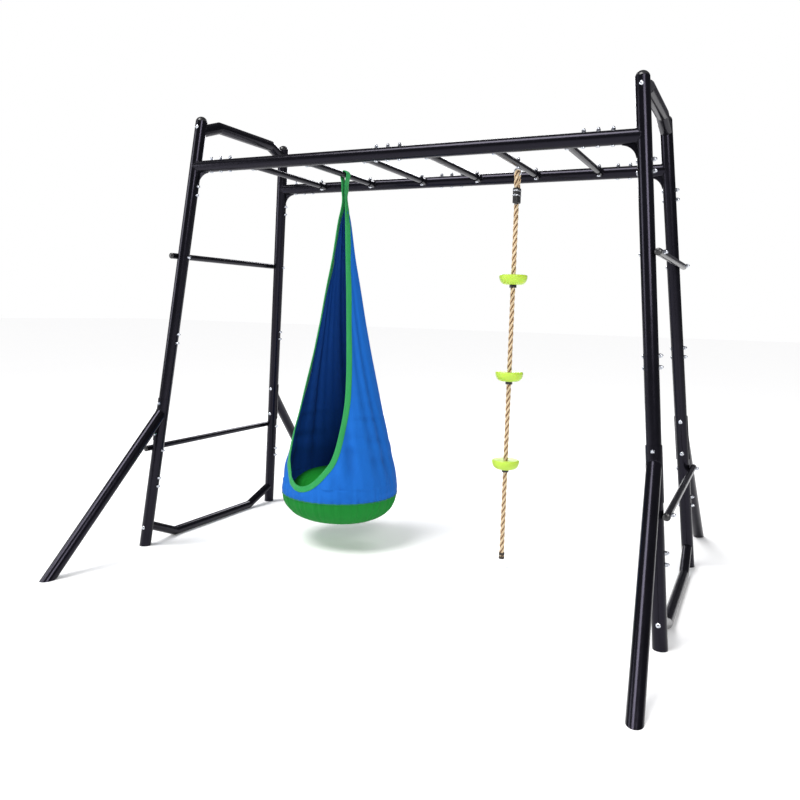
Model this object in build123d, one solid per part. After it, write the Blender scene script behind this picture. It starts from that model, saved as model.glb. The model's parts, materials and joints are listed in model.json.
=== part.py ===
from build123d import *
import os
from math import cos, radians, sin, sqrt

# Monkey bars with a pod swing and a climbing rope, in millimetres.
# X runs along the bars, Y from front to back, Z up. The origin lies on the ground at the centre of the feet.

# ---- frame: driving dimensions -------------------------------------------------------------------
tube_d = 50.0            # posts, beams, braces and top bars
tube_wall = 1.5
neck_gap = 0.3           # radial play between a swaged neck and its socket
beam_z = 1685.0          # height of the beam axes
half_length = 945.0      # beam-height distance from the centre to each end frame
half_width = 330.0       # beam-height distance from the centre to each beam
lean_x = 0.103           # outward run of each end frame per unit of drop
lean_y = 0.089           # outward run of each post per unit of drop, front and back
cap_z = 1880.0           # top of the post tubes, under their dome caps
cap_rise = 20.0
post_seams = (1543.0, 899.0, 255.0)
post_neck = 95.0
post_bolt_offsets = (22.0, 60.0)      # above a post seam
beam_seams = (-745.0, 55.0, 855.0)
beam_neck = 130.0
beam_bolt_offsets = (12.0, 62.0, 112.0)  # to the left of a beam seam
gusset_leg = 48.0
gusset_thickness = 4.0

# ---- rungs ---------------------------------------------------------------------------------------
rung_d = 25.4
rung_wall = 1.5
monkey_pitch = 270.0
monkey_count = 6
socket_d = 32.0
socket_bore = 26.2
socket_length = 45.0
rung_bolt_inset = 25.0   # from the socket's root to the bolt
ladder_heights = {"upper": 1296.0, "lower": 440.0}
ladder_overhang = 36.0   # past each post axis

# ---- end bars and ground braces ------------------------------------------------------------------
top_bar_post_z = 1835.0
top_bar_z = 1877.0
top_bar_half_run = 195.0
bottom_bar_d = 40.0
bottom_bar_post_z = 95.0
bottom_bar_half_run = 290.0
bar_plate_depth = 12.0   # from the post's surface to the middle of the threaded plate in a bar end
bar_plate_thickness = 6.0
brace_joint_z = 615.0    # where the brace axis meets the post axis
brace_foot_run = 524.0   # from the post's foot to the brace's foot
saddle_low_z = 480.0
saddle_high_z = 668.0
saddle_wall = 3.0
saddle_bolt_heights = (510.0, 648.0)

# ---- fasteners -----------------------------------------------------------------------------------
bolt_d = 8.0
bolt_hole_d = 8.6
head_d = 16.0
head_height = 5.0
nut_flats = 13.0
nut_hex_height = 6.5
nut_height = 14.0
nut_grip = 9.0           # length of thread inside a cap nut

# ---- climbing rope -------------------------------------------------------------------------------
rope_x = 405.0
rope_y = 20.0
rope_d = 20.0
rope_turn = 90.0         # degrees from the beams' direction to the plane of the rope's eye
eye_wire_d = 6.0
eye_inner_d = 22.0
eye_shoulder = 1.0
rope_play = 0.5          # between the rope's eye and the steel eye
sleeve_top_z = 1590.0
sleeve_length = 60.0
sleeve_width = 46.0
sleeve_depth = 27.0
sleeve_socket = 32.0     # how far the rope's two legs reach into the sleeve
rope_end_z = 45.0
whipping_height = 30.0
disc_heights = (1244.0, 847.0, 476.0)
disc_d = 114.0
disc_height = 40.0
disc_bore_play = 0.4
clamp_d = 29.0
clamp_height = 12.0

# ---- pod swing -----------------------------------------------------------------------------------
pod_x = -405.0
pod_y = 40.0
pod_turn = -12.0         # degrees that the mouth is turned away from the front
pod_skin = 5.0
pod_bottom_z = 95.0
pod_widest_z = 272.0
pod_radius = 268.0
pod_neck_z = 1600.0
pod_neck_radius = 17.0
pod_profile = ((52.0, 1317.0), (107.0, 1010.0), (192.0, 616.0))  # radius and height down the skirt
pod_seam_z = 236.0       # seam between the skirt and the base panel
flex_z = 1640.0          # where the fabric neck bends under the rung
knuckle_d = 24.0
knuckle_play = 0.6
loop_wall = 5.0
loop_play = 0.4
loop_width = 36.0
# Half widths and heights round the mouth; the last run is straight.
mouth_outline = ((0, 300), (100, 375), (136, 540), (80, 1010), (0, 1500))
binding_outline = ((0, 276), (121, 362), (158, 542), (94, 1010), (0, 1550))
binding_proud = 2.0
seam_gap = 0.5           # between the edge of the skirt and its binding
cushion_gap = 3.0
cushion_top_z = 345.0

sides = {"left": -1, "right": 1}
ends = {"front": -1, "rear": 1}
tube_bore = tube_d - 2 * tube_wall
neck_d = tube_bore - 2 * neck_gap
neck_bore = neck_d - 2 * tube_wall
rung_bore = rung_d - 2 * rung_wall
rung_offset = tube_d / 2 + rung_d / 2
monkey_places = [(i - (monkey_count - 1) / 2) * monkey_pitch for i in range(monkey_count)]


def save(name, shapes):
    """Write one node: a single solid, or a group of separate solids."""
    solids = []
    for shape in shapes:
        solids.extend(shape.solids())
    export_step(solids[0] if len(solids) == 1 else Compound(children=solids), f"parts/{name}.step")


def rod(start, end, diameter):
    """A round bar between two points."""
    axis = end - start
    plane = Plane(origin=start, z_dir=axis)
    return plane * Cylinder(diameter / 2, axis.length, align=(Align.CENTER, Align.CENTER, Align.MIN))


def pipe(start, end, outer, bore):
    """A round tube between two points."""
    return rod(start, end, outer) - rod(start, end, bore)


def bar_through(centre, direction, reach, diameter=bolt_hole_d):
    """A drill that passes through centre, reaching the same way on both sides."""
    return rod(centre - direction * reach, centre + direction * reach, diameter)


def under_ground(point):
    """The space below the ground around a foot, which cuts the foot level."""
    return Pos(point.X, point.Y, 0) * Box(300, 300, 200, align=(Align.CENTER, Align.CENTER, Align.MAX))


def cut_all(shape, tools):
    """Take every tool away from the shape."""
    for tool in tools:
        shape = shape - tool
    return shape


def post_point(side, end, z):
    """A point of a post's axis."""
    drop = beam_z - z
    return Vector(side * (half_length + lean_x * drop), end * (half_width + lean_y * drop), z)


def post_down(side, end):
    """The direction of a post, from top to bottom."""
    return Vector(side * lean_x, end * lean_y, -1).normalized()


def frame_normal(side):
    """Square to an end frame's plane, pointing to +X."""
    return Vector(1, 0, side * lean_x).normalized()


def frame_outward(side, end):
    """In the end frame's plane, square to a post, pointing to the front or to the back."""
    across = frame_normal(side).cross(post_down(side, end))
    return across * (end if across.Y > 0 else -end)


def post_bolt_points(side, end, seam):
    return [post_point(side, end, seam + offset) for offset in post_bolt_offsets]


def beam_bolt_points(end, seam):
    return [Vector(seam - offset, end * half_width, beam_z) for offset in beam_bolt_offsets]


# ---- fasteners -----------------------------------------------------------------------------------
def dome_head():
    """A domed bolt head that rises from the XY plane."""
    rim = 1.5
    rise = head_height - rim
    ball = ((head_d / 2) ** 2 + rise ** 2) / (2 * rise)
    dome = Pos(0, 0, head_height - ball) * Sphere(ball)
    blank = Cylinder(head_d / 2, head_height, align=(Align.CENTER, Align.CENTER, Align.MIN))
    return blank & dome


def cap_nut():
    """A hexagon cap nut that rises from the XY plane, with its blind hole."""
    hexagon = extrude(RegularPolygon(nut_flats / 2, 6, major_radius=False), nut_hex_height)
    dome_d = nut_flats - 1
    stem = nut_height - nut_hex_height - dome_d / 2
    body = Pos(0, 0, nut_hex_height) * Cylinder(dome_d / 2, stem, align=(Align.CENTER, Align.CENTER, Align.MIN))
    dome = Pos(0, 0, nut_hex_height + stem) * Sphere(dome_d / 2)
    hole = Cylinder(bolt_d / 2 + 0.1, nut_grip + 0.5, align=(Align.CENTER, Align.CENTER, Align.MIN))
    return hexagon + body + dome - hole


HEAD = dome_head()
NUT = cap_nut()


def bolt(centre, direction, head_reach, nut_reach):
    """A bolt whose head sits head_reach behind centre and whose nut sits nut_reach ahead of it."""
    seat = centre - direction * head_reach
    head = Plane(origin=seat, z_dir=direction * -1) * HEAD
    return head + rod(seat, centre + direction * (nut_reach + nut_grip), bolt_d)


def nut(centre, direction, nut_reach):
    return Plane(origin=centre + direction * nut_reach, z_dir=direction) * NUT


# ---- posts ---------------------------------------------------------------------------------------
def necked_post(side, end, top, bottom, drills):
    """A post section: a swaged neck above its top seam and a plain tube down to its bottom seam."""
    top_point = post_point(side, end, top)
    bottom_point = post_point(side, end, bottom)
    down = post_down(side, end)
    body = pipe(top_point, bottom_point + down * (tube_d if bottom == 0 else 0), tube_d, tube_bore)
    neck = pipe(top_point - down * post_neck, top_point + down * 6, neck_d, neck_bore)
    shoulder = pipe(top_point, top_point + down * 6, tube_d, neck_bore)
    section = body + neck + shoulder
    if bottom == 0:
        section = section - under_ground(bottom_point)
    return cut_all(section, drills)


def seam_drills(side, end, seam):
    normal = frame_normal(side)
    return [bar_through(point, normal, tube_d) for point in post_bolt_points(side, end, seam)]


def ladder_drill(side, end, z):
    return bar_through(post_point(side, end, z), frame_normal(side), 2 * tube_d)


def saddle_drills(side, end):
    outward = frame_outward(side, end)
    return [bar_through(post_point(side, end, z), outward, tube_d) for z in saddle_bolt_heights]


def beam_stub(side, end):
    """The stub that meets the beam: a socket on the left end frame, a neck on the right one."""
    start = Vector(side * half_length, end * half_width, beam_z)
    seam = Vector(beam_seams[0] if side < 0 else beam_seams[-1], end * half_width, beam_z)
    stub = pipe(start, seam, tube_d, tube_bore)
    if side > 0:
        inward = Vector(-1, 0, 0)
        neck = pipe(seam - inward * 6, seam + inward * beam_neck, neck_d, neck_bore)
        shoulder = pipe(seam - inward * 6, seam, tube_d, neck_bore)
        stub = stub + neck + shoulder
    return stub


def gusset(side, end):
    """A web with a hollowed edge in the corner under the stub."""
    inward = Vector(-side, 0, 0)
    down = post_down(side, end)
    corner = post_point(side, end, beam_z - tube_d / 2)
    tip = 3.0
    middle = gusset_leg * (1 - sqrt(0.5)) + tip

    def place(along, below):
        return corner + inward * along + down * below

    stub_tip = place(tube_d / 2 + gusset_leg, tip)
    post_tip = place(tube_d / 2 + tip, gusset_leg)
    edge = ThreePointArc(stub_tip, place(tube_d / 2 + middle, middle), post_tip)
    back = Polyline(post_tip, place(0, gusset_leg), place(0, -1), place(tube_d / 2 + gusset_leg, -1), stub_tip)
    return extrude(make_face([edge, back]), gusset_thickness / 2, dir=inward.cross(down).normalized(), both=True)


def corner_post(side, end):
    """The welded top corner: post tube, beam stub and gusset."""
    low = post_point(side, end, post_seams[0])
    high = post_point(side, end, cap_z)
    post_rod = rod(low, high, tube_d)
    stub = beam_stub(side, end) - post_rod
    piece = pipe(low, high, tube_d, tube_bore) + stub + (gusset(side, end) - post_rod)
    seam = beam_seams[0] if side < 0 else beam_seams[-1]
    drills = seam_drills(side, end, post_seams[0])
    drills += [bar_through(point, Vector(0, 0, 1), tube_d) for point in beam_bolt_points(end, seam)]
    drills.append(bar_through(bar_bolt_centre(TOP_BAR, side, end), frame_outward(side, end), tube_d))
    return cut_all(piece, drills)


def upper_post(side, end):
    drills = seam_drills(side, end, post_seams[0]) + seam_drills(side, end, post_seams[1])
    drills.append(ladder_drill(side, end, ladder_heights["upper"]))
    return necked_post(side, end, post_seams[0], post_seams[1], drills)


def lower_post(side, end):
    drills = seam_drills(side, end, post_seams[1]) + seam_drills(side, end, post_seams[2])
    drills += saddle_drills(side, end)
    drills.append(ladder_drill(side, end, ladder_heights["lower"]))
    return necked_post(side, end, post_seams[1], post_seams[2], drills)


def foot_post(side, end):
    drills = seam_drills(side, end, post_seams[2])
    drills.append(bar_through(bar_bolt_centre(BOTTOM_BAR, side, end), frame_outward(side, end), tube_d))
    return necked_post(side, end, post_seams[2], 0, drills)


# ---- beams and monkey rungs ----------------------------------------------------------------------
def beam(end, index):
    """One beam tube between two seams: a neck on its left end and a welded socket for each rung."""
    axis = Vector(1, 0, 0)
    left = Vector(beam_seams[index], end * half_width, beam_z)
    right = Vector(beam_seams[index + 1], end * half_width, beam_z)
    solid_beam = rod(left, right, tube_d - tube_wall)
    piece = pipe(left, right, tube_d, tube_bore)
    piece = piece + pipe(left - axis * beam_neck, left + axis * 6, neck_d, neck_bore)
    piece = piece + pipe(left, left + axis * 6, tube_d, neck_bore)
    drills = []
    for seam in beam_seams[index:index + 2]:
        drills += [bar_through(point, Vector(0, 0, 1), tube_d) for point in beam_bolt_points(end, seam)]
    for x in monkey_places:
        if left.X < x < right.X:
            root = Vector(x, end * half_width, beam_z)
            mouth = Vector(x, end * (half_width - tube_d / 2 - socket_length), beam_z)
            piece = piece + (pipe(root, mouth, socket_d, socket_bore) - solid_beam)
            drills.append(bar_through(rung_bolt_point(x, end), Vector(0, 0, 1), tube_d / 2))
    return cut_all(piece, drills)


def rung_bolt_point(x, end):
    return Vector(x, end * (half_width - tube_d / 2 - rung_bolt_inset), beam_z)


def monkey_rung(x):
    """A round rung whose two ends slide into the sockets on the beams."""
    reach = half_width - tube_d / 2 - 4
    piece = pipe(Vector(x, -reach, beam_z), Vector(x, reach, beam_z), rung_d, rung_bore)
    drills = [bar_through(rung_bolt_point(x, end), Vector(0, 0, 1), rung_d) for end in ends.values()]
    if x == rope_x:
        drills.append(bar_through(Vector(rope_x, rope_y, beam_z), Vector(0, 0, 1), rung_d))
    return cut_all(piece, drills)


# ---- end frames ----------------------------------------------------------------------------------
def ladder_rung_ends(side, z):
    """The two ends of a ladder rung's axis, on the outer side of the posts."""
    outward = frame_normal(side) * side
    over = Vector(0, ladder_overhang, 0)
    front = post_point(side, -1, z) + outward * rung_offset - over
    rear = post_point(side, 1, z) + outward * rung_offset + over
    return front, rear


def ladder_rung(side, z):
    front, rear = ladder_rung_ends(side, z)
    drills = [ladder_drill(side, end, z) for end in ends.values()]
    return cut_all(pipe(front, rear, rung_d, rung_bore), drills)


TOP_BAR = {"post_z": top_bar_post_z, "run_z": top_bar_z, "half_run": top_bar_half_run, "outer": tube_d}
BOTTOM_BAR = {
    "post_z": bottom_bar_post_z,
    "run_z": bottom_bar_d / 2,
    "half_run": bottom_bar_half_run,
    "outer": bottom_bar_d,
}


def bar_bend(bar, side, end):
    """The bend of an end bar, in the leaning plane of its frame."""
    return Vector(side * (half_length + lean_x * (beam_z - bar["run_z"])), end * bar["half_run"], bar["run_z"])


def bar_plate_point(bar, side, end):
    """The middle of the threaded plate inside a bar end."""
    root = post_point(side, end, bar["post_z"])
    inward = (bar_bend(bar, side, end) - root).normalized()
    depth = tube_d / 2 + bar_plate_depth
    return root + inward * (depth / abs(inward.dot(frame_outward(side, end))))


def bar_bolt_centre(bar, side, end):
    """Where the bolt of a bar end crosses the post's axis."""
    return bar_plate_point(bar, side, end) + frame_outward(side, end) * (tube_d / 2 + bar_plate_depth)


def end_bar(bar, side):
    """A bent bar between the front and rear posts, coped to them, with a threaded plate in each end."""
    outer = bar["outer"]
    bore = outer - 2 * tube_wall
    front, front_bend = post_point(side, -1, bar["post_z"]), bar_bend(bar, side, -1)
    rear, rear_bend = post_point(side, 1, bar["post_z"]), bar_bend(bar, side, 1)
    path = Polyline(front, front_bend, rear_bend, rear)
    start = Plane(origin=front, z_dir=front_bend - front)
    piece = sweep(start * Circle(outer / 2), path=path, transition=Transition.RIGHT)
    piece = piece - sweep(start * Circle(bore / 2), path=path, transition=Transition.RIGHT)
    for end, root, bend in ((-1, front, front_bend), (1, rear, rear_bend)):
        outward = frame_outward(side, end)
        centre = bar_plate_point(bar, side, end)
        half = outward * (bar_plate_thickness / 2)
        slab = rod(centre - half, centre + half, 2 * outer)
        piece = piece + (slab & rod(root, bend, outer - tube_wall))
        piece = piece - rod(post_point(side, end, 2000), post_point(side, end, -100), tube_d + 0.1)
        piece = piece - bar_through(centre, outward, bar_plate_depth, bolt_d + 0.2)
    return piece


def brace_foot(side, end):
    foot = post_point(side, end, 0)
    return foot + Vector(0, end * brace_foot_run, 0)


def ground_brace(side, end):
    """A slanted leg welded to a half saddle that is bolted round the post."""
    outward = frame_outward(side, end)
    top = post_point(side, end, brace_joint_z)
    foot = brace_foot(side, end)
    along = (foot - top).normalized()
    saddle_d = tube_d + 2 * saddle_wall
    high = post_point(side, end, saddle_high_z)
    low = post_point(side, end, saddle_low_z)
    leg = pipe(top, foot + along * tube_d, tube_d, tube_bore) - rod(high, low, saddle_d - saddle_wall)
    keep = Plane(origin=(high + low) * 0.5, x_dir=outward, z_dir=post_down(side, end)) * Pos(2, 0, 0)
    half = keep * Box(tube_d, 2 * tube_d, tube_d * 8, align=(Align.MIN, Align.CENTER, Align.CENTER))
    saddle = pipe(high, low, saddle_d, tube_d + 0.2) & half
    return cut_all(leg - under_ground(foot) + saddle, saddle_drills(side, end))


def dome_cap(side, end):
    """A dome that closes a post's top and plugs into its bore."""
    top = post_point(side, end, cap_z)
    up = post_down(side, end) * -1
    ball = ((tube_d / 2) ** 2 + cap_rise ** 2) / (2 * cap_rise)
    dome = Plane(origin=top, z_dir=up) * (Pos(0, 0, cap_rise - ball) * Sphere(ball))
    crown = dome & rod(top, top + up * tube_d, tube_d)
    return crown + rod(top - up * 15, top, tube_bore - 0.4)


def foot_plug(start, direction, bore):
    """A plug inside the lower end of a leg, level with the ground."""
    return rod(start - direction * 18, start + direction * tube_d, bore - 0.6) - under_ground(start)


def rung_plug(tip, direction):
    """A domed plug in the end of a ladder rung."""
    crown = Plane(origin=tip, z_dir=direction) * (Pos(0, 0, 5 - 18.6) * Sphere(18.6))
    crown = crown & rod(tip, tip + direction * 10, rung_d)
    return crown + rod(tip - direction * 12, tip, rung_bore - 0.4)


# ---- climbing rope -------------------------------------------------------------------------------
eye_centre_z = beam_z - rung_d / 2 - eye_shoulder - eye_wire_d - eye_inner_d / 2
eye_major = (eye_inner_d + eye_wire_d) / 2
wire_z = eye_centre_z - eye_major
rope_eye_radius = (rope_d + eye_wire_d) / 2 + rope_play
rope_flex_z = sleeve_top_z - sleeve_length - 4


def rope_point(x, z):
    return Vector(rope_x + x, rope_y, z)


def turn_eye(shape):
    """Turn a piece of the rope's eye about the rope."""
    return Pos(rope_x, rope_y, 0) * Rot(0, 0, rope_turn) * Pos(-rope_x, -rope_y, 0) * shape


def eye_bolt():
    """An eye bolt through a monkey rung, with its ring across the rung."""
    ring = Plane(origin=rope_point(0, eye_centre_z), z_dir=Vector(1, 0, 0)) * Torus(eye_major, eye_wire_d / 2)
    collar_low = beam_z - rung_d / 2 - eye_shoulder
    collar = rod(rope_point(0, collar_low), rope_point(0, collar_low + eye_shoulder), head_d)
    shank = rod(rope_point(0, eye_centre_z + eye_major), rope_point(0, beam_z + rung_d / 2 + nut_grip), bolt_d)
    return ring + collar + shank


def rope_eye():
    """The rope's spliced eye: a turn over the steel ring and two legs that reach into the sleeve."""
    lean = radians(5)
    span_x = rope_eye_radius * cos(lean)
    span_z = wire_z - rope_eye_radius * sin(lean)
    turn = ThreePointArc(rope_point(-span_x, span_z), rope_point(0, wire_z + rope_eye_radius), rope_point(span_x, span_z))
    start = Plane(origin=rope_point(-span_x, span_z), z_dir=Vector(-sin(lean), 0, cos(lean)))
    eye = sweep(start * Circle(rope_d / 2), path=turn)
    drop = span_z - (sleeve_top_z - sleeve_socket)
    for side in sides.values():
        top = rope_point(side * span_x, span_z)
        foot = rope_point(side * (span_x - drop * sin(lean) / cos(lean)), span_z - drop)
        eye = eye + rod(top, foot, rope_d)
    return eye


def rope_sleeve(eye):
    """The sleeve that binds the eye, with a cup under it where the rope bends."""
    outline = Plane(origin=rope_point(0, sleeve_top_z - sleeve_length)) * SlotOverall(sleeve_width, sleeve_depth)
    body = fillet(extrude(outline, sleeve_length).edges(), 3)
    return body - eye - Pos(rope_x, rope_y, rope_flex_z) * Sphere(rope_d / 2 + knuckle_play)


def climbing_rope():
    """The straight hanging rope: round at the top, where it bends, and flat at its lower end."""
    top = rope_point(0, rope_flex_z)
    return rod(top, rope_point(0, rope_end_z + 4), rope_d) + Pos(*top) * Sphere(rope_d / 2)


def rope_ring(z, height, outer):
    """A collar round the rope, standing on z."""
    return pipe(rope_point(0, z), rope_point(0, z + height), outer, rope_d + disc_bore_play)


def rope_disc(top_z):
    """A foot disc: a bowl-like underside, a soft rim and a shallow dish in the top."""
    bore = rope_d / 2 + disc_bore_play / 2
    rim = disc_d / 2
    hub = clamp_d / 2 + 14
    side = Bezier((rim, -9), (rim - 1, -27), (hub + 17, -disc_height), (hub, -disc_height))
    lip = ThreePointArc((rim - 5, 0), (rim - 1, -3), (rim, -9))
    dish = Bezier((bore, -3), (bore + 14, -3), (rim - 18, 0), (rim - 5, 0))
    walls = Polyline((hub, -disc_height), (bore, -disc_height), (bore, -3))
    face = make_face([dish, lip, side, walls])
    return Pos(rope_x, rope_y, top_z) * revolve(Plane.XZ * face, Axis.Z)


def whipping():
    """The bound end of the rope."""
    low = rope_point(0, rope_end_z)
    cap = rod(low, rope_point(0, rope_end_z + whipping_height), rope_d + 5)
    return fillet(cap.edges(), 2) - rod(rope_point(0, rope_end_z + 4), rope_point(0, beam_z), rope_d)


# ---- pod swing -----------------------------------------------------------------------------------
def pod_section(inset, low_z, high_z):
    """Half of the pod's section, drawn in by inset, between two heights, as a flat face of radius and height."""
    neck = (pod_neck_radius - inset, pod_neck_z)
    widest = (pod_radius - inset, pod_widest_z)
    points = [neck] + [(radius - inset, z) for radius, z in pod_profile] + [widest]
    side = Spline(points, tangents=((0.08, -1), (0.05, -1)))
    low = pod_bottom_z + inset
    floor = Bezier(widest, (pod_radius - inset + 6, pod_widest_z - 110), (150, low), (0, low))
    close = Polyline((0, low), (0, pod_neck_z), neck)
    band = Pos(0, low_z) * Rectangle(600, high_z - low_z, align=(Align.MIN, Align.MIN))
    return make_face([side, floor, close]) & band


def spin(section):
    """The solid of revolution of a flat section."""
    return revolve(Plane.YZ * section, Axis.Z)


def mouth_tool(outline, margin=0.0):
    """A teardrop block that cuts the mouth from the front, inside a symmetrical outline grown by a margin."""
    low, *middle, shoulder, high = outline
    rise = (high[1] - shoulder[1]) / shoulder[0]
    foot = (0, low[1] - margin)
    turns = [(x + margin, z) for x, z in middle]
    corner = (shoulder[0] + margin, shoulder[1])
    tip = (0, high[1] + margin * rise)
    round_part = Spline([foot, *turns, corner], tangents=((1, 0), (-1, rise)))
    right = Curve() + [round_part, Line(corner, tip)]
    left = mirror(right, Plane.YZ)
    return extrude(Plane.XZ * make_face([*right.edges(), *left.edges()]), 400)


def place_pod(shape):
    return Pos(pod_x, pod_y, 0) * Rot(0, 0, pod_turn) * shape


def pod_shell():
    """The fabric skirt: a hollow cone, solid where it gathers into its neck."""
    skirt = pod_section(0, pod_seam_z, pod_neck_z) - pod_section(pod_skin, 0, pod_neck_z - 30)
    neck_top = Vector(0, 0, flex_z)
    neck = rod(neck_top - Vector(0, 0, 60), neck_top, knuckle_d) + Pos(0, 0, flex_z) * Sphere(knuckle_d / 2)
    return place_pod(spin(skirt) - mouth_tool(binding_outline, seam_gap) + neck)


def pod_binding():
    """The binding sewn round the mouth, a little thicker than the fabric."""
    inner = pod_section(pod_skin + binding_proud, 0, pod_neck_z - 30)
    skin = spin(pod_section(-binding_proud, pod_seam_z, pod_neck_z - 30) - inner)
    return place_pod((skin & mouth_tool(binding_outline)) - mouth_tool(mouth_outline))


def pod_base():
    """The base panel under the seam."""
    return place_pod(spin(pod_section(0, 0, pod_seam_z) - pod_section(pod_skin, 0, beam_z)))


def pod_cushion():
    """A thick crowned cushion that fills the bottom of the pod."""
    inset = pod_skin + cushion_gap + binding_proud
    radius = pod_radius - inset
    shoulder_z = cushion_top_z - 75
    crown = (0, cushion_top_z)
    edge = (radius - 8, shoulder_z)
    upper = Bezier(crown, (150, cushion_top_z), (radius - 2, cushion_top_z - 10), edge)
    low = Polyline(edge, (radius - 8, 0), (0, 0), crown)
    return place_pod(spin(make_face([upper, low]) & pod_section(inset, 0, beam_z)))


def pod_loop():
    """The hanging loop that turns on the monkey rung, with a cup for the pod's neck."""
    axle = Plane(origin=(pod_x, pod_y, beam_z), x_dir=(1, 0, 0), z_dir=(0, -1, 0))
    inner = rung_d / 2 + loop_play
    outer = inner + loop_wall
    foot = beam_z - flex_z - 2
    legs = make_face(Polyline((-outer, 0), (outer, 0), (knuckle_d / 2 + 2, -foot), (-knuckle_d / 2 - 2, -foot), (-outer, 0)))
    outline = Circle(outer) + legs - Circle(inner)
    loop = extrude(axle * outline, loop_width / 2, both=True)
    return loop - Pos(pod_x, pod_y, flex_z) * Sphere(knuckle_d / 2 + knuckle_play)


# ---- fastener groups -----------------------------------------------------------------------------
def build_fasteners():
    """Every bolt group, and all the cap nuts."""
    up = Vector(0, 0, 1)
    groups = {"post_bolts": [], "beam_bolts": [], "rung_bolts": [], "ladder_bolts": [], "brace_bolts": [], "bar_bolts": []}
    nuts = []
    half = tube_d / 2
    for side in sides.values():
        normal = frame_normal(side)
        for end in ends.values():
            for seam in post_seams:
                for point in post_bolt_points(side, end, seam):
                    groups["post_bolts"].append(bolt(point, normal, half, half))
                    nuts.append(nut(point, normal, half))
            for z in ladder_heights.values():
                point = post_point(side, end, z)
                outer = half + rung_d
                head_reach, nut_reach = (half, outer) if side > 0 else (outer, half)
                groups["ladder_bolts"].append(bolt(point, normal, head_reach, nut_reach))
                nuts.append(nut(point, normal, nut_reach))
            outward = frame_outward(side, end)
            for z in saddle_bolt_heights:
                point = post_point(side, end, z)
                reach = half + saddle_wall
                groups["brace_bolts"].append(bolt(point, outward, half, reach))
                nuts.append(nut(point, outward, reach))
            for bar in (TOP_BAR, BOTTOM_BAR):
                point = bar_bolt_centre(bar, side, end)
                groups["bar_bolts"].append(bolt(point, outward * -1, half, half + bar_plate_depth))
    for end in ends.values():
        for seam in beam_seams:
            for point in beam_bolt_points(end, seam):
                groups["beam_bolts"].append(bolt(point, up, half, half))
                nuts.append(nut(point, up, half))
        for x in monkey_places:
            point = rung_bolt_point(x, end)
            groups["rung_bolts"].append(bolt(point, up, socket_d / 2, socket_d / 2))
            nuts.append(nut(point, up, socket_d / 2))
    nuts.append(nut(Vector(rope_x, rope_y, beam_z), up, rung_d / 2))
    groups["cap_nuts"] = nuts
    return groups


def build_frame():
    for side_name, side in sides.items():
        for end_name, end in ends.items():
            place = f"{end_name}_{side_name}"
            save(f"corner_post_{place}", [corner_post(side, end)])
            save(f"upper_post_{place}", [upper_post(side, end)])
            save(f"lower_post_{place}", [lower_post(side, end)])
            save(f"foot_post_{place}", [foot_post(side, end)])
            save(f"ground_brace_{place}", [ground_brace(side, end)])
        for level, z in ladder_heights.items():
            save(f"ladder_rung_{level}_{side_name}", [ladder_rung(side, z)])
        save(f"top_bar_{side_name}", [end_bar(TOP_BAR, side)])
        save(f"bottom_bar_{side_name}", [end_bar(BOTTOM_BAR, side)])
    for end_name, end in ends.items():
        save(f"beam_{end_name}_left", [beam(end, 0)])
        save(f"beam_{end_name}_right", [beam(end, 1)])
    for number, x in enumerate(monkey_places, start=1):
        save(f"monkey_rung_{number}", [monkey_rung(x)])


def build_trim():
    caps = []
    feet = []
    plugs = []
    for side in sides.values():
        for end in ends.values():
            caps.append(dome_cap(side, end))
            feet.append(foot_plug(post_point(side, end, 0), post_down(side, end), tube_bore))
            leg = (brace_foot(side, end) - post_point(side, end, brace_joint_z)).normalized()
            feet.append(foot_plug(brace_foot(side, end), leg, tube_bore))
        for z in ladder_heights.values():
            front, rear = ladder_rung_ends(side, z)
            plugs.append(rung_plug(front, Vector(0, -1, 0)))
            plugs.append(rung_plug(rear, Vector(0, 1, 0)))
    save("post_caps", caps)
    save("foot_plugs", feet)
    save("rung_plugs", plugs)
    for name, shapes in build_fasteners().items():
        save(name, shapes)


def build_rope():
    eye = rope_eye()
    save("eye_bolt", [turn_eye(eye_bolt())])
    save("rope_eye", [turn_eye(eye)])
    save("rope_sleeve", [turn_eye(rope_sleeve(eye))])
    save("climbing_rope", [climbing_rope()])
    save("rope_discs", [rope_disc(z) for z in disc_heights])
    save("disc_clamps", [rope_ring(z - disc_height - clamp_height, clamp_height, clamp_d) for z in disc_heights])
    save("rope_end", [whipping()])


def build_pod():
    save("pod_loop", [pod_loop()])
    save("pod_shell", [pod_shell()])
    save("pod_binding", [pod_binding()])
    save("pod_base", [pod_base()])
    save("pod_cushion", [pod_cushion()])


os.makedirs("parts", exist_ok=True)
build_frame()
build_trim()
build_rope()
build_pod()
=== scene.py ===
"""Finishes a set of garden monkey bars: its steelwork, its hanging pod and its climbing rope.

Everything is in metres. +X runs along the overhead beams, +Y from front to back and +Z up.
"""

import json
import math

import bmesh
import bpy
from mathutils import Matrix, Vector


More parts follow.
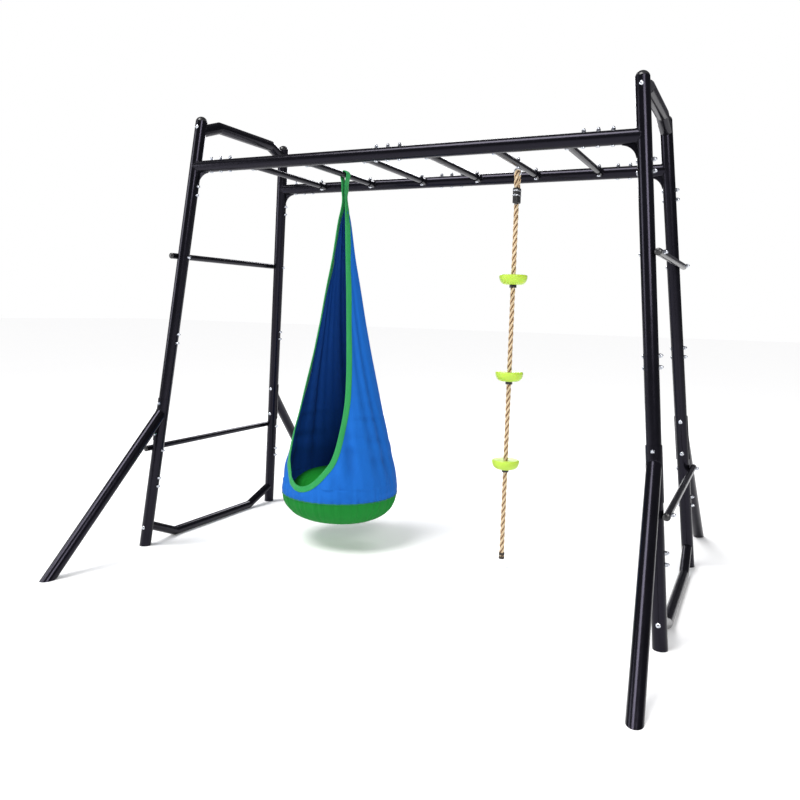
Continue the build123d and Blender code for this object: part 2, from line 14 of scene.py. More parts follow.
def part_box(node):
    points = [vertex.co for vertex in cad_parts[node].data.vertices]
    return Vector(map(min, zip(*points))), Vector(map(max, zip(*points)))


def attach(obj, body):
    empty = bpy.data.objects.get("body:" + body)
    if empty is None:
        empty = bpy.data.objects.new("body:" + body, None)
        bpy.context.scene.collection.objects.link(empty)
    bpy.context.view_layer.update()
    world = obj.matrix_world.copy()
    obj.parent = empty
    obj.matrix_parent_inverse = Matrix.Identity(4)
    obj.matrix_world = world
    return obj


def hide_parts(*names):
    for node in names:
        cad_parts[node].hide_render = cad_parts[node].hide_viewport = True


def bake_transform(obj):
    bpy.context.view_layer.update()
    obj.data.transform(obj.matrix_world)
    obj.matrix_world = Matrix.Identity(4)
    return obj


bl_info = {
    "name": "Garden Monkey Bars",
    "version": (1, 0, 0),
    "blender": (4, 5, 0),
    "location": "3D View > Sidebar > Monkey Bars",
    "description": "Finishes the steel frame and makes the hanging pod, the climbing rope and the stage",
    "category": "Add Mesh",
}

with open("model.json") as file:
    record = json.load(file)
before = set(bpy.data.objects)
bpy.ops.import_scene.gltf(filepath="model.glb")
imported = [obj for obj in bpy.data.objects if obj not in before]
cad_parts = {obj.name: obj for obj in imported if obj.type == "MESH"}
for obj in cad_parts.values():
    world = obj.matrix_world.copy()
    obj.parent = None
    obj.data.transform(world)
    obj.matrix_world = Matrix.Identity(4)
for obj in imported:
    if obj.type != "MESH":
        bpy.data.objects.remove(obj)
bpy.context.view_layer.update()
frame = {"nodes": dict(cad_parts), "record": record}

MM = 0.001
RUNG = {n: sum(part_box(n), Vector()) / 2 for n in frame["nodes"] if n.startswith("monkey_rung")}
POD_RUNG = RUNG["monkey_rung_2"]
LOOP_LOW, LOOP_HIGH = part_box("pod_loop")
BASE_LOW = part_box("pod_base")[0]
CUSHION_LOW, CUSHION_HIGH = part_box("pod_cushion")
ROPE_LOW, ROPE_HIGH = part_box("climbing_rope")
SLEEVE_LOW, SLEEVE_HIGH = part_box("rope_sleeve")
POD_AXIS = (LOOP_LOW + LOOP_HIGH) / 2
ROPE_AXIS = (ROPE_LOW + ROPE_HIGH) / 2


# ---- settings ------------------------------------------------------------------------------------
def colour_property(name, description, default):
    return bpy.props.StringProperty(name=name, description=description, default=default)


class SteelSettings(bpy.types.PropertyGroup):
    enamel: colour_property("Enamel", "Colour of the black enamel, sRGB hex", "050506")
    enamel_gloss: colour_property("Enamel gloss tint", "Tint of the enamel's reflections, sRGB hex", "DDD6F6")
    zinc: colour_property("Zinc", "Colour of the bright zinc plate, sRGB hex", "CDD0D6")
    bead_spacing: bpy.props.FloatProperty(
        name="Weld ripple", description="Distance between the ripples of a weld", default=0.0026,
        unit="LENGTH"
    )
    bead_width: bpy.props.FloatProperty(
        name="Weld width", description="Width of a weld bead", default=0.0052, unit="LENGTH"
    )


class RopeSettings(bpy.types.PropertyGroup):
    diameter: bpy.props.FloatProperty(
        name="Diameter", description="Diameter of the climbing rope", default=0.020, unit="LENGTH"
    )
    pitch: bpy.props.FloatProperty(
        name="Lay", description="Length of one turn of a strand", default=0.088, unit="LENGTH"
    )
    fibre: colour_property("Fibre", "Colour of the rope's strands, sRGB hex", "DCC7A2")
    disc: colour_property("Discs", "Colour of the foot discs, sRGB hex", "A6C832")


class PodSettings(bpy.types.PropertyGroup):
    turn: bpy.props.FloatProperty(
        name="Turn", description="How far the mouth turns to the left", default=math.radians(-12),
        subtype="ANGLE"
    )
    cloth: colour_property("Cloth", "Colour of the skirt's cloth, sRGB hex", "1160B8")
    # Painted shade: the inner face is a darker copy of the outer cloth, standing in for the shade inside the
    # skirt.
    shaded_inner_face: colour_property("Inner face shade", "Colour of the skirt's inner face, sRGB hex", "083C86")
    trim: colour_property("Trim", "Colour of the binding and the hanging strap, sRGB hex", "1A8A42")
    base: colour_property("Base", "Colour of the base panel, sRGB hex", "147A2A")
    cushion: colour_property("Cushion", "Colour of the cushion's cover, sRGB hex", "047218")
    trim_width: bpy.props.FloatProperty(
        name="Trim width", description="Width of the binding", default=0.024, unit="LENGTH"
    )
    fold_depth: bpy.props.FloatProperty(
        name="Fold depth", description="Depth of the skirt's hanging folds", default=0.0085, unit="LENGTH"
    )


class StageSettings(bpy.types.PropertyGroup):
    floor: colour_property("Floor", "Colour of the floor, sRGB hex", "FDFDFD")
    eye: bpy.props.FloatVectorProperty(
        name="Camera", description="Place of the camera", default=(1.3716, -3.0558, 1.0894),
        subtype="TRANSLATION"
    )
    yaw: bpy.props.FloatProperty(
        name="Yaw", description="Turn of the camera to the left of +Y", default=math.radians(25.48),
        subtype="ANGLE"
    )
    pitch: bpy.props.FloatProperty(
        name="Pitch", description="Rise of the camera's view", default=math.radians(-6.66), subtype="ANGLE"
    )
    roll: bpy.props.FloatProperty(
        name="Roll", description="Lean of the camera", default=math.radians(1.5), subtype="ANGLE"
    )
    lens: bpy.props.FloatProperty(
        name="Lens", description="Focal length of the camera, in millimetres", default=34.68
    )


# ---- small helpers -------------------------------------------------------------------------------
def linear(text):
    """An sRGB hex colour as linear RGBA."""
    channels = [int(text[i:i + 2], 16) / 255 for i in (0, 2, 4)]
    return [c / 12.92 if c <= 0.04045 else ((c + 0.055) / 1.055) ** 2.4 for c in channels] + [1.0]


def add_node(tree, kind, sockets=None, **settings):
    """Add a node with its settings; each socket takes a value or another node's output."""
    made = tree.nodes.new(kind)
    for key, value in settings.items():
        setattr(made, key, value)
    for key, value in (sockets or {}).items():
        if isinstance(value, bpy.types.NodeSocket):
            tree.links.new(value, made.inputs[key])
        else:
            made.inputs[key].default_value = value
    return made


def ramp(tree, factor, stops):
    """A colour ramp over factor, with stops of place and sRGB hex colour."""
    made = add_node(tree, "ShaderNodeValToRGB", {"Fac": factor})
    elements = made.color_ramp.elements
    while len(elements) < len(stops):
        elements.new(0.5)
    for element, (place, text) in zip(elements, stops):
        element.position = place
        element.color = linear(text)
    return made.outputs["Color"]


def new_material(name):
    """A material with one shader, its tree and the shader."""
    material = bpy.data.materials.new(name)
    material.use_nodes = True
    tree = material.node_tree
    tree.nodes.clear()
    shader = add_node(tree, "ShaderNodeBsdfPrincipled")
    add_node(tree, "ShaderNodeOutputMaterial", {"Surface": shader.outputs["BSDF"]})
    return material, tree, shader


def wire(tree, shader, **sockets):
    """Link outputs or set values on a shader, by socket name with spaces as underscores."""
    for key, value in sockets.items():
        socket = shader.inputs[key.replace("_", " ")]
        if isinstance(value, bpy.types.NodeSocket):
            tree.links.new(value, socket)
        else:
            socket.default_value = value


def blend_colours(tree, factor, first, second, mode="MIX"):
    """Two colours, each a hex text or an output, mixed by factor."""
    mixed = add_node(tree, "ShaderNodeMix", data_type="RGBA", blend_type=mode)
    for index, value in ((0, factor), (6, first), (7, second)):
        if isinstance(value, bpy.types.NodeSocket):
            tree.links.new(value, mixed.inputs[index])
        else:
            mixed.inputs[index].default_value = linear(value) if isinstance(value, str) else value
    return mixed.outputs[2]


def bump(tree, height, distance, strength=1.0, under=None):
    sockets = {"Height": height, "Distance": distance, "Strength": strength}
    if under is not None:
        sockets["Normal"] = under
    return add_node(tree, "ShaderNodeBump", sockets).outputs["Normal"]


def hex_mix(first, second, share):
    """A hex colour part of the way from first to second."""
    pairs = [(int(first[i:i + 2], 16), int(second[i:i + 2], 16)) for i in (0, 2, 4)]
    return "".join(f"{round(a + (b - a) * share):02X}" for a, b in pairs)


def smoothstep(low, high, value):
    t = min(max((value - low) / (high - low), 0.0), 1.0)
    return t * t * (3 - 2 * t)


def follow(table, value):
    """A smooth curve through a table of (x, y) pairs."""
    xs = [x for x, _ in table]
    ys = [y for _, y in table]
    value = min(max(value, xs[0]), xs[-1])
    i = max(j for j in range(len(xs) - 1) if xs[j] <= value)

    def slope(j):
        before, after = max(j - 1, 0), min(j + 1, len(xs) - 1)
        return (ys[after] - ys[before]) / (xs[after] - xs[before])

    span = xs[i + 1] - xs[i]
    t = (value - xs[i]) / span
    hold = (2 * t ** 3 - 3 * t ** 2 + 1) * ys[i] + (t ** 3 - 2 * t ** 2 + t) * span * slope(i)
    return hold + (3 * t ** 2 - 2 * t ** 3) * ys[i + 1] + (t ** 3 - t ** 2) * span * slope(i + 1)


def make_object(name, points, faces, materials, uvs=None):
    """A smooth mesh object; uvs gives one (u, v) pair for each face corner."""
    mesh = bpy.data.meshes.new(name)
    mesh.from_pydata([tuple(p) for p in points], [], faces)
    if uvs:
        layer = mesh.uv_layers.new(name="UVMap")
        layer.data.foreach_set("uv", [c for uv in uvs for c in uv])
    for material in materials:
        mesh.materials.append(material)
    mesh.shade_smooth()
    made = bpy.data.objects.new(name, mesh)
    bpy.context.scene.collection.objects.link(made)
    return made


def freeze(made):
    """Turn an object's evaluated shape into its plain mesh and drop its modifiers."""
    graph = bpy.context.evaluated_depsgraph_get()
    mesh = bpy.data.meshes.new_from_object(made.evaluated_get(graph), depsgraph=graph)
    name = made.name
    bpy.data.objects.remove(made)
    mesh.name = name
    fresh = bpy.data.objects.new(name, mesh)
    bpy.context.scene.collection.objects.link(fresh)
    return fresh


def grid_faces(rows, columns, wrap_rows=False, wrap_columns=False):
    """Quads of a grid of points stored row by row."""
    faces = []
    for i in range(rows if wrap_rows else rows - 1):
        for j in range(columns if wrap_columns else columns - 1):
            k, m = (i + 1) % rows, (j + 1) % columns
            faces.append((i * columns + j, i * columns + m, k * columns + m, k * columns + j))
    return faces


def path_curve(name, paths, cyclic):
    """A curve object with one straight-run spline for each path."""
    data = bpy.data.curves.new(name, "CURVE")
    data.dimensions = "3D"
    for points in paths:
        spline = data.splines.new("POLY")
        spline.points.add(len(points) - 1)
        for target, point in zip(spline.points, points):
            target.co = (*point, 1.0)
        spline.use_cyclic_u = cyclic
    made = bpy.data.objects.new(name, data)
    bpy.context.scene.collection.objects.link(made)
    return made


def route_points(name, controls):
    """Points read from a smooth route through its control points."""
    data = bpy.data.curves.new(name, "CURVE")
    data.dimensions = "3D"
    spline = data.splines.new("NURBS")
    spline.points.add(len(controls) - 1)
    for target, point in zip(spline.points, controls):
        target.co = (*point, 1.0)
    spline.order_u = 3
    spline.use_endpoint_u = True
    data.resolution_u = 24
    route = bpy.data.objects.new(name, data)
    bpy.context.scene.collection.objects.link(route)
    graph = bpy.context.evaluated_depsgraph_get()
    mesh = bpy.data.meshes.new_from_object(route.evaluated_get(graph), depsgraph=graph)
    points = [v.co.copy() for v in mesh.vertices]
    bpy.data.objects.remove(route)
    bpy.data.meshes.remove(mesh)
    return points


def evenly(points, step):
    """The same path with points every step."""
    result = [points[0].copy()]
    left = step
    for a, b in zip(points, points[1:]):
        run = (b - a).length
        done = 0.0
        while run - done >= left:
            done += left
            result.append(a.lerp(b, done / run))
            left = step
        left -= run - done
    if (result[-1] - points[-1]).length > step * 0.3:
        result.append(points[-1].copy())
    return result


def transported(points, first_side):
    """Point, tangent and two sides along a path, without twist."""
    frames = []
    side = Vector(first_side)
    for i, point in enumerate(points):
        tangent = (points[min(i + 1, len(points) - 1)] - points[max(i - 1, 0)]).normalized()
        side = (side - tangent * side.dot(tangent)).normalized()
        frames.append((point, tangent, side, tangent.cross(side)))
    return frames


# ---- geometry node trees -------------------------------------------------------------------------
def bead_tree():
    """Small rounded beads along a path: the stitches of a seam or the ripples of a weld."""
    tree = bpy.data.node_groups.new("Beads along a path", "GeometryNodeTree")
    face = tree.interface
    face.new_socket("Geometry", in_out="INPUT", socket_type="NodeSocketGeometry")
    for label in ("Spacing", "Length", "Width", "Height", "Unevenness"):
        face.new_socket(label, in_out="INPUT", socket_type="NodeSocketFloat")
    face.new_socket("Seed", in_out="INPUT", socket_type="NodeSocketInt")
    face.new_socket("Material", in_out="INPUT", socket_type="NodeSocketMaterial")
    face.new_socket("Geometry", in_out="OUTPUT", socket_type="NodeSocketGeometry")
    given = add_node(tree, "NodeGroupInput").outputs
    even = add_node(
        tree, "GeometryNodeResampleCurve", {"Curve": given["Geometry"], "Length": given["Spacing"]},
        mode="LENGTH"
    )
    tangent = add_node(tree, "GeometryNodeInputTangent").outputs["Tangent"]
    turned = add_node(tree, "FunctionNodeAlignRotationToVector", {"Vector": tangent}, axis="X")
    ball = add_node(tree, "GeometryNodeMeshUVSphere", {"Segments": 8, "Rings": 5, "Radius": 0.5})
    sizes = add_node(
        tree, "ShaderNodeCombineXYZ", {"X": given["Length"], "Y": given["Width"], "Z": given["Height"]}
    )
    lowest = add_node(tree, "ShaderNodeMath", {0: 1.0, 1: given["Unevenness"]}, operation="SUBTRACT")
    highest = add_node(tree, "ShaderNodeMath", {0: 1.0, 1: given["Unevenness"]}, operation="ADD")
    spread = add_node(
        tree,
        "FunctionNodeRandomValue",
        {2: lowest.outputs[0], 3: highest.outputs[0], "Seed": given["Seed"]},
        data_type="FLOAT",
    )
    scaled = add_node(
        tree, "ShaderNodeVectorMath", {0: sizes.outputs[0], "Scale": spread.outputs[1]}, operation="SCALE"
    )
    placed = add_node(
        tree,
        "GeometryNodeInstanceOnPoints",
        {
            "Points": even.outputs[0],
            "Instance": ball.outputs["Mesh"],
            "Rotation": turned.outputs[0],
            "Scale": scaled.outputs[0],
        },
    )
    real = add_node(tree, "GeometryNodeRealizeInstances", {"Geometry": placed.outputs[0]})
    soft = add_node(tree, "GeometryNodeSetShadeSmooth", {0: real.outputs[0]})
    painted = add_node(
        tree, "GeometryNodeSetMaterial", {"Geometry": soft.outputs[0], "Material": given["Material"]}
    )
    add_node(tree, "NodeGroupOutput", {"Geometry": painted.outputs[0]})
    return tree


def twine_tree():
    """Turns of twine wound side by side round a rope."""
    tree = bpy.data.node_groups.new("Wound twine", "GeometryNodeTree")
    face = tree.interface
    for label in ("Radius", "Turns", "Height", "Twine radius"):
        face.new_socket(label, in_out="INPUT", socket_type="NodeSocketFloat")
    face.new_socket("Bands", in_out="INPUT", socket_type="NodeSocketInt")
    face.new_socket("Band offset", in_out="INPUT", socket_type="NodeSocketVector")
    face.new_socket("Material", in_out="INPUT", socket_type="NodeSocketMaterial")
    face.new_socket("Geometry", in_out="OUTPUT", socket_type="NodeSocketGeometry")
    given = add_node(tree, "NodeGroupInput").outputs
    spiral = add_node(
        tree,
        "GeometryNodeCurveSpiral",
        {
            "Resolution": 32,
            "Rotations": given["Turns"],
            "Start Radius": given["Radius"],
            "End Radius": given["Radius"],
            "Height": given["Height"],
        },
    )
    ring = add_node(tree, "GeometryNodeCurvePrimitiveCircle",
                    {"Resolution": 8, "Radius": given["Twine radius"]})
    tube = add_node(
        tree,
        "GeometryNodeCurveToMesh",
        {"Curve": spiral.outputs[0], "Profile Curve": ring.outputs[0], "Fill Caps": True},
    )
    soft = add_node(tree, "GeometryNodeSetShadeSmooth", {0: tube.outputs[0]})
    rows = add_node(tree, "GeometryNodeMeshLine", {"Count": given["Bands"], "Offset": given["Band offset"]})
    bands = add_node(
        tree, "GeometryNodeInstanceOnPoints", {"Points": rows.outputs[0], "Instance": soft.outputs[0]}
    )
    real = add_node(tree, "GeometryNodeRealizeInstances", {"Geometry": bands.outputs[0]})
    painted = add_node(
        tree, "GeometryNodeSetMaterial", {"Geometry": real.outputs[0], "Material": given["Material"]}
    )
    add_node(tree, "NodeGroupOutput", {"Geometry": painted.outputs[0]})
    return tree


def grow(made, tree, **values):
    """Run a node tree on an object with its named inputs, and keep the result as a plain mesh."""
    modifier = made.modifiers.new(tree.name, "NODES")
    modifier.node_group = tree
    for item in tree.interface.items_tree:
        key = item.name.replace(" ", "_").lower()
        if item.in_out == "INPUT" and key in values:
            modifier[item.identifier] = values[key]
    return freeze(made)


# ---- materials -----------------------------------------------------------------------------------
def object_noise(tree, scale, detail=2.0, stretch=(1, 1, 1), rough=0.5):
    """Noise on the object's own coordinates, scale in cycles per metre."""
    place = add_node(tree, "ShaderNodeTexCoord").outputs["Object"]
    moved = add_node(tree, "ShaderNodeMapping", {"Vector": place, "Scale": stretch})
    noise = add_node(
        tree,
        "ShaderNodeTexNoise",
        {"Vector": moved.outputs[0], "Scale": scale, "Detail": detail, "Roughness": rough},
    )
    return noise.outputs["Fac"]


def black_enamel(settings):
    """Sprayed gloss enamel on drawn steel tube: deep black, wide soft highlights, a faint orange peel."""
    material, tree, shader = new_material("Sprayed gloss black enamel")
    patches = object_noise(tree, 9.0, 3.0)
    wire(
        tree,
        shader,
        Base_Color=blend_colours(tree, patches, settings.enamel, hex_mix(settings.enamel, "20202A", 0.35)),
        IOR=1.45,
        Specular_IOR_Level=0.28,
        Specular_Tint=linear(settings.enamel_gloss),
    )
    smear = add_node(
        tree, "ShaderNodeMapRange", {"Value": object_noise(tree, 60.0, 4.0), "To Min": 0.16, "To Max": 0.28}
    )
    # The orange peel is about 3 mm across, twice the real one, so that it shows.
    peel = bump(tree, object_noise(tree, 330.0, 1.0), 0.00006)
    long_wave = bump(tree, object_noise(tree, 22.0, 1.0), 0.0005, 0.6, peel)
    wire(tree, shader, Roughness=smear.outputs[0], Normal=long_wave)
    return material


def bright_zinc(settings):
    """Zinc-plated steel fasteners: bright, a little clouded, with fine grain."""
    material, tree, shader = new_material("Bright zinc plate")
    cloud = object_noise(tree, 180.0, 3.0)
    wire(
        tree,
        shader,
        Base_Color=blend_colours(tree, cloud, settings.zinc, hex_mix(settings.zinc, "9AA0AC", 0.5)),
        Metallic=1.0,
    )
    smear = add_node(tree, "ShaderNodeMapRange", {"Value": cloud, "To Min": 0.16, "To Max": 0.36})
    wire(tree, shader, Roughness=smear.outputs[0],
         Normal=bump(tree, object_noise(tree, 1400.0, 2.0), 0.00003))
    return material


def moulded_plastic(name, colour, low, high, grain, clear=0.0):
    """Injection-moulded polypropylene: an even colour, a satin skin and a fine moulded grain."""
    material, tree, shader = new_material(name)
    cloud = object_noise(tree, 30.0, 2.0)
    wire(
        tree,
        shader,
        Base_Color=blend_colours(tree, cloud, colour, hex_mix(colour, "FFFFFF", 0.10)),
        IOR=1.49,
        Subsurface_Weight=clear,
        Subsurface_Scale=0.004,
    )
    smear = add_node(tree, "ShaderNodeMapRange", {"Value": cloud, "To Min": low, "To Max": high})
    wire(tree, shader, Roughness=smear.outputs[0], Normal=bump(tree, object_noise(tree, 900.0, 2.0), grain))
    return material


def silver_band():
    """Crimped aluminium band: brushed round its length."""
    material, tree, shader = new_material("Brushed aluminium band")
    lines = object_noise(tree, 40.0, 3.0, (1, 1, 60))
    wire(tree, shader, Base_Color=blend_colours(tree, lines, "D4D6DA", "9DA1A8"), Metallic=1.0,
         Roughness=0.32)
    wire(tree, shader, Normal=bump(tree, lines, 0.00008))
    return material


def rope_strand(settings):
    """Twisted hemp-like yarn: matt cream and brown fibres, with painted shade where two strands meet."""
    material, tree, shader = new_material("Twisted tan rope yarn")
    face = add_node(tree, "ShaderNodeTexCoord").outputs["UV"]
    turned = add_node(tree, "ShaderNodeMapping", {"Vector": face, "Rotation": (0, 0, math.radians(30))})
    # Fibres lie 0.8 mm apart.
    ridges = add_node(
        tree,
        "ShaderNodeTexWave",
        {"Vector": turned.outputs[0], "Scale": 1 / 0.0008 / 6.2832, "Distortion": 3.0, "Detail": 2.0},
        bands_direction="Y",
    ).outputs["Fac"]
    drawn = add_node(tree, "ShaderNodeMapping",
                     {"Vector": turned.outputs[0], "Scale": (40, 420, 1)}).outputs[0]
    mottle = add_node(tree, "ShaderNodeTexNoise",
                      {"Vector": drawn, "Scale": 1.0, "Detail": 3.0}).outputs["Fac"]
    pale = hex_mix(settings.fibre, "FFF6E2", 0.35)
    yarn = ramp(tree, mottle,
                [(0.32, hex_mix(settings.fibre, "8A623A", 0.75)), (0.5, settings.fibre), (0.68, pale)])
    # Painted shade: the yarn darkens towards the rope's axis, where the strands meet and shade falls.
    depth = add_node(tree, "ShaderNodeAttribute", attribute_name="groove_shade").outputs["Fac"]
    shade = ramp(tree, depth, [(0.0, "FFFFFF"), (0.25, "C9A888"), (0.50, "5E3C24"), (0.9, "1C1009")])
    base = blend_colours(tree, 1.0, yarn, shade, "MULTIPLY")
    base = blend_colours(tree, blend_amount(tree, ridges, 0.30), base, "7A5733")
    wire(
        tree,
        shader,
        Base_Color=base,
        Roughness=0.85,
        Sheen_Weight=0.2,
        Sheen_Roughness=0.5,
        Normal=bump(tree, ridges, 0.0004, 0.8, bump(tree, object_noise(tree, 2600.0, 2.0), 0.0002, 0.5)),
    )
    return material


def blend_amount(tree, factor, most):
    """A factor scaled so that it reaches only as far as most."""
    return add_node(tree, "ShaderNodeMapRange", {"Value": factor, "To Min": 0.0, "To Max": most}).outputs[0]


def rope_core():
    """The dark hollow between the strands: a core coloured in painted shade."""
    material, tree, shader = new_material("Shaded rope core")
    cloud = object_noise(tree, 500.0, 2.0)
    wire(tree, shader, Base_Color=blend_colours(tree, cloud, "3A2A18", "5E4629"), Roughness=0.95)
    wire(tree, shader, Normal=bump(tree, cloud, 0.0003))
    return material


def waxed_twine():
    """Waxed dark twine: satin, wound tight."""
    material, tree, shader = new_material("Waxed dark twine")
    cloud = object_noise(tree, 700.0, 3.0)
    wire(tree, shader, Base_Color=blend_colours(tree, cloud, "1D1916", "453A30"), Roughness=0.6)
    wire(tree, shader, Normal=bump(tree, cloud, 0.0002))
    return material


def woven_cloth(name, colour, shade, thread, sheen, creases=0.4):
    """Plain-woven cotton canvas on the piece's UV map: warp and weft threads, soft creases, faded patches, and
    painted shade in the folds' valleys.
    """
    material, tree, shader = new_material(name)
    face = add_node(tree, "ShaderNodeTexCoord").outputs["UV"]
    scale = 1 / thread / 6.2832
    warp = add_node(
        tree, "ShaderNodeTexWave", {"Vector": face, "Scale": scale, "Distortion": 0.6}, bands_direction="X"
    ).outputs["Fac"]
    weft = add_node(
        tree, "ShaderNodeTexWave", {"Vector": face, "Scale": scale, "Distortion": 0.6}, bands_direction="Y"
    ).outputs["Fac"]
    weave = add_node(tree, "ShaderNodeMath", {0: warp, 1: weft}, operation="MULTIPLY").outputs[0]
    slub = add_node(tree, "ShaderNodeMapping", {"Vector": face, "Scale": (220, 14, 1)}).outputs[0]
    uneven = add_node(tree, "ShaderNodeTexNoise",
                      {"Vector": slub, "Scale": 1.0, "Detail": 3.0}).outputs["Fac"]
    hang = add_node(tree, "ShaderNodeMapping", {"Vector": face, "Scale": (26, 3.2, 1)}).outputs[0]
    crease = add_node(tree, "ShaderNodeTexNoise",
                      {"Vector": hang, "Scale": 1.0, "Detail": 4.0}).outputs["Fac"]
    faded = object_noise(tree, 4.5, 3.0)
    base = blend_colours(tree, blend_amount(tree, faded, 0.7), colour, hex_mix(colour, "FFFFFF", 0.04))
    base = blend_colours(tree, blend_amount(tree, uneven, 0.5), base, hex_mix(colour, shade, 0.4))
    base = blend_colours(tree, blend_amount(tree, weave, 0.22), base, shade)
    # Painted shade: the cloth is darkened where a fold sinks in, read from the mesh's fold-valley attribute.
    valley = add_node(tree, "ShaderNodeAttribute", attribute_name="valley").outputs["Fac"]
    base = blend_colours(tree, blend_amount(tree, valley, 0.26), base, hex_mix(shade, "000000", 0.3))
    normal = bump(tree, crease, 0.004, creases)
    wire(
        tree,
        shader,
        Base_Color=base,
        Roughness=0.82,
        Specular_IOR_Level=0.15,
        Sheen_Weight=sheen,
        Sheen_Roughness=0.45,
        Sheen_Tint=linear(hex_mix(colour, "FFFFFF", 0.2)),
        Normal=bump(tree, weave, 0.0005, 0.5, normal),
    )
    return material


def webbing(name, colour):
    """Woven polyester tape: a fine herringbone across its width, a slight shine."""
    material, tree, shader = new_material(name)
    face = add_node(tree, "ShaderNodeTexCoord").outputs["UV"]
    # Ribs are 2 mm apart.
    ribs = []
    for angle in (45, -45):
        turned = add_node(tree, "ShaderNodeMapping",
                          {"Vector": face, "Rotation": (0, 0, math.radians(angle))})
        wave = add_node(tree, "ShaderNodeTexWave", {"Vector": turned.outputs[0], "Scale": 1 / 0.002 / 6.2832})
        ribs.append(wave.outputs["Fac"])
    weave = add_node(tree, "ShaderNodeMath", {0: ribs[0], 1: ribs[1]}, operation="MULTIPLY").outputs[0]
    cloud = object_noise(tree, 14.0, 3.0)
    base = blend_colours(tree, blend_amount(tree, cloud, 0.8), colour, hex_mix(colour, "FFFFFF", 0.10))
    base = blend_colours(tree, blend_amount(tree, weave, 0.35), base, hex_mix(colour, "0A3A18", 0.6))
    wire(
        tree,
        shader,
        Base_Color=base,
        Roughness=0.62,
        Specular_IOR_Level=0.2,
        Sheen_Weight=0.08,
        Normal=bump(tree, weave, 0.0005, 0.6),
    )
    return material


def sewing_thread(name, colour):
    """Twisted polyester thread with a slight gleam."""
    material, tree, shader = new_material(name)
    cloud = object_noise(tree, 900.0, 2.0)
    wire(tree, shader, Base_Color=blend_colours(tree, cloud, colour, hex_mix(colour, "000000", 0.3)),
         Roughness=0.5)
    wire(tree, shader, Normal=bump(tree, cloud, 0.0002))
    return material


def paint_nodes(material, names):
    """Give CAD nodes a finished material."""
    for name in names:
        data = frame["nodes"][name].data
        data.materials.clear()
        data.materials.append(material)
        for face in data.polygons:
            face.material_index = 0


def slot_nodes(slot):
    return [s["node"] for s in frame["record"]["subparts"] if s["material_slot"] == slot]


# ---- pod shape -----------------------------------------------------------------------------------
# Height and radius of the skirt from its neck down to the base seam.
PROFILE = [
    (0.236, 0.2660), (0.272, 0.2680), (0.334, 0.2590), (0.424, 0.2380), (0.539, 0.2120), (0.616, 0.1920),
    (0.817, 0.1470), (1.010, 0.1070), (1.189, 0.0760), (1.317, 0.0520), (1.475, 0.0290), (1.540, 0.0160),
    (1.590, 0.0085), (1.640, 0.0060),
]
# Half angle of the mouth, against the square root of the height above its lowest point.
MOUTH_LOW = 0.300
MOUTH = [
    (0.000, 0.0), (0.130, 11.5), (0.261, 23.0), (0.352, 32.0), (0.489, 40.0), (0.640, 48.0), (0.843, 51.5),
    (1.010, 52.0), (1.095, 50.0), (1.160, 48.0),
]
NECK_Z = (1.540, 1.625)   # where the two bindings leave the neck and become the strap's legs


def mouth_angle(z):
    return math.radians(follow(MOUTH, math.sqrt(max(z - MOUTH_LOW, 0.0)))) if z > MOUTH_LOW else 0.0


def fold(settings, angle, z):
    """How far the hanging cloth stands out or in at an angle from the mouth's middle."""
    away = abs(math.atan2(math.sin(angle), math.cos(angle)))
    near_mouth = smoothstep(0.0, 0.35, away - mouth_angle(z)) if z > MOUTH_LOW else 1.0
    drift = angle + 0.5 * (z - 0.3) * math.copysign(1.0, math.sin(angle))
    long_folds = 0.55 * math.cos(9 * drift + 0.6) + 0.45 * math.cos(14 * drift + 2.1) + 0.3 * math.cos(23 * drift)
    middle = smoothstep(0.24, 0.42, z) * (1 - smoothstep(0.75, 1.25, z))
    upper = smoothstep(0.8, 1.1, z) * (1 - smoothstep(1.45, 1.58, z))
    pleats = math.exp(-(z - 0.236) / 0.055) * (
        math.cos(44 * angle + 1.3 * math.sin(3 * angle)) + 0.5 * math.cos(61 * angle + 2 * math.sin(2 * angle))
    )
    run = follow(PROFILE, z) * math.sin(min(away, math.pi / 2))
    spoke = math.atan2(0.62 - z, run + 0.02)
    from_edge = smoothstep(0.10, 0.40, away - mouth_angle(z)) if z > MOUTH_LOW else smoothstep(0.0, 0.06,
                                                                                               MOUTH_LOW - z)
    fan = from_edge * (1 - smoothstep(1.2, 2.6, away)) * smoothstep(0.236, 0.27,
                                                                    z) * (1 - smoothstep(0.45, 0.85, z))
    rays = fan * (math.cos(21 * spoke + 1.0) + 0.6 * math.cos(34 * spoke))
    depth = settings.fold_depth
    out = depth * middle * long_folds * (0.25 + 0.75 * near_mouth)
    out += 0.35 * depth * upper * long_folds * near_mouth
    return out + 0.0022 * pleats + 0.0036 * rays


def skirt_point(settings, angle, z, off=0.0):
    """A point of the skirt's outer face, or off it."""
    radius = follow(PROFILE, z) + fold(settings, angle, z) + off
    turned = settings.turn + angle
    return Vector((POD_AXIS.x + radius * math.sin(turned), POD_AXIS.y - radius * math.cos(turned), z))


def edge_frame(settings, u, side):
    """On the mouth's edge, at a square-root height u: angle, height and the turn away from it."""
    step = 0.004

    def flat(value):
        z = MOUTH_LOW + value * value
        return side * mouth_angle(z) * follow(PROFILE, z), z

    before, after = flat(max(u - step, 0.0)), flat(u + step)
    run, rise = after[0] - before[0], after[1] - before[1]
    if u < step:
        run, rise = side, 0.0
    size = math.hypot(run, rise)
    z = MOUTH_LOW + u * u
    return side * mouth_angle(z), z, (side * rise / size, -side * run / size)


def trim_point(settings, u, side, across, off):
    """A point of the binding, across from the mouth's edge, or of the strap's leg above the neck."""
    angle, z, away = edge_frame(settings, u, side)
    radius = follow(PROFILE, z)
    on_cloth = skirt_point(settings, angle + away[0] * across / radius, z + away[1] * across, off)
    share = smoothstep(*NECK_Z, z)
    if share == 0.0:
        return on_cloth
    leg = Vector((POD_AXIS.x + side * (0.0085 + off), POD_AXIS.y + (across - settings.trim_width / 2) * 1.3,
                  z))
    return on_cloth.lerp(leg, share)


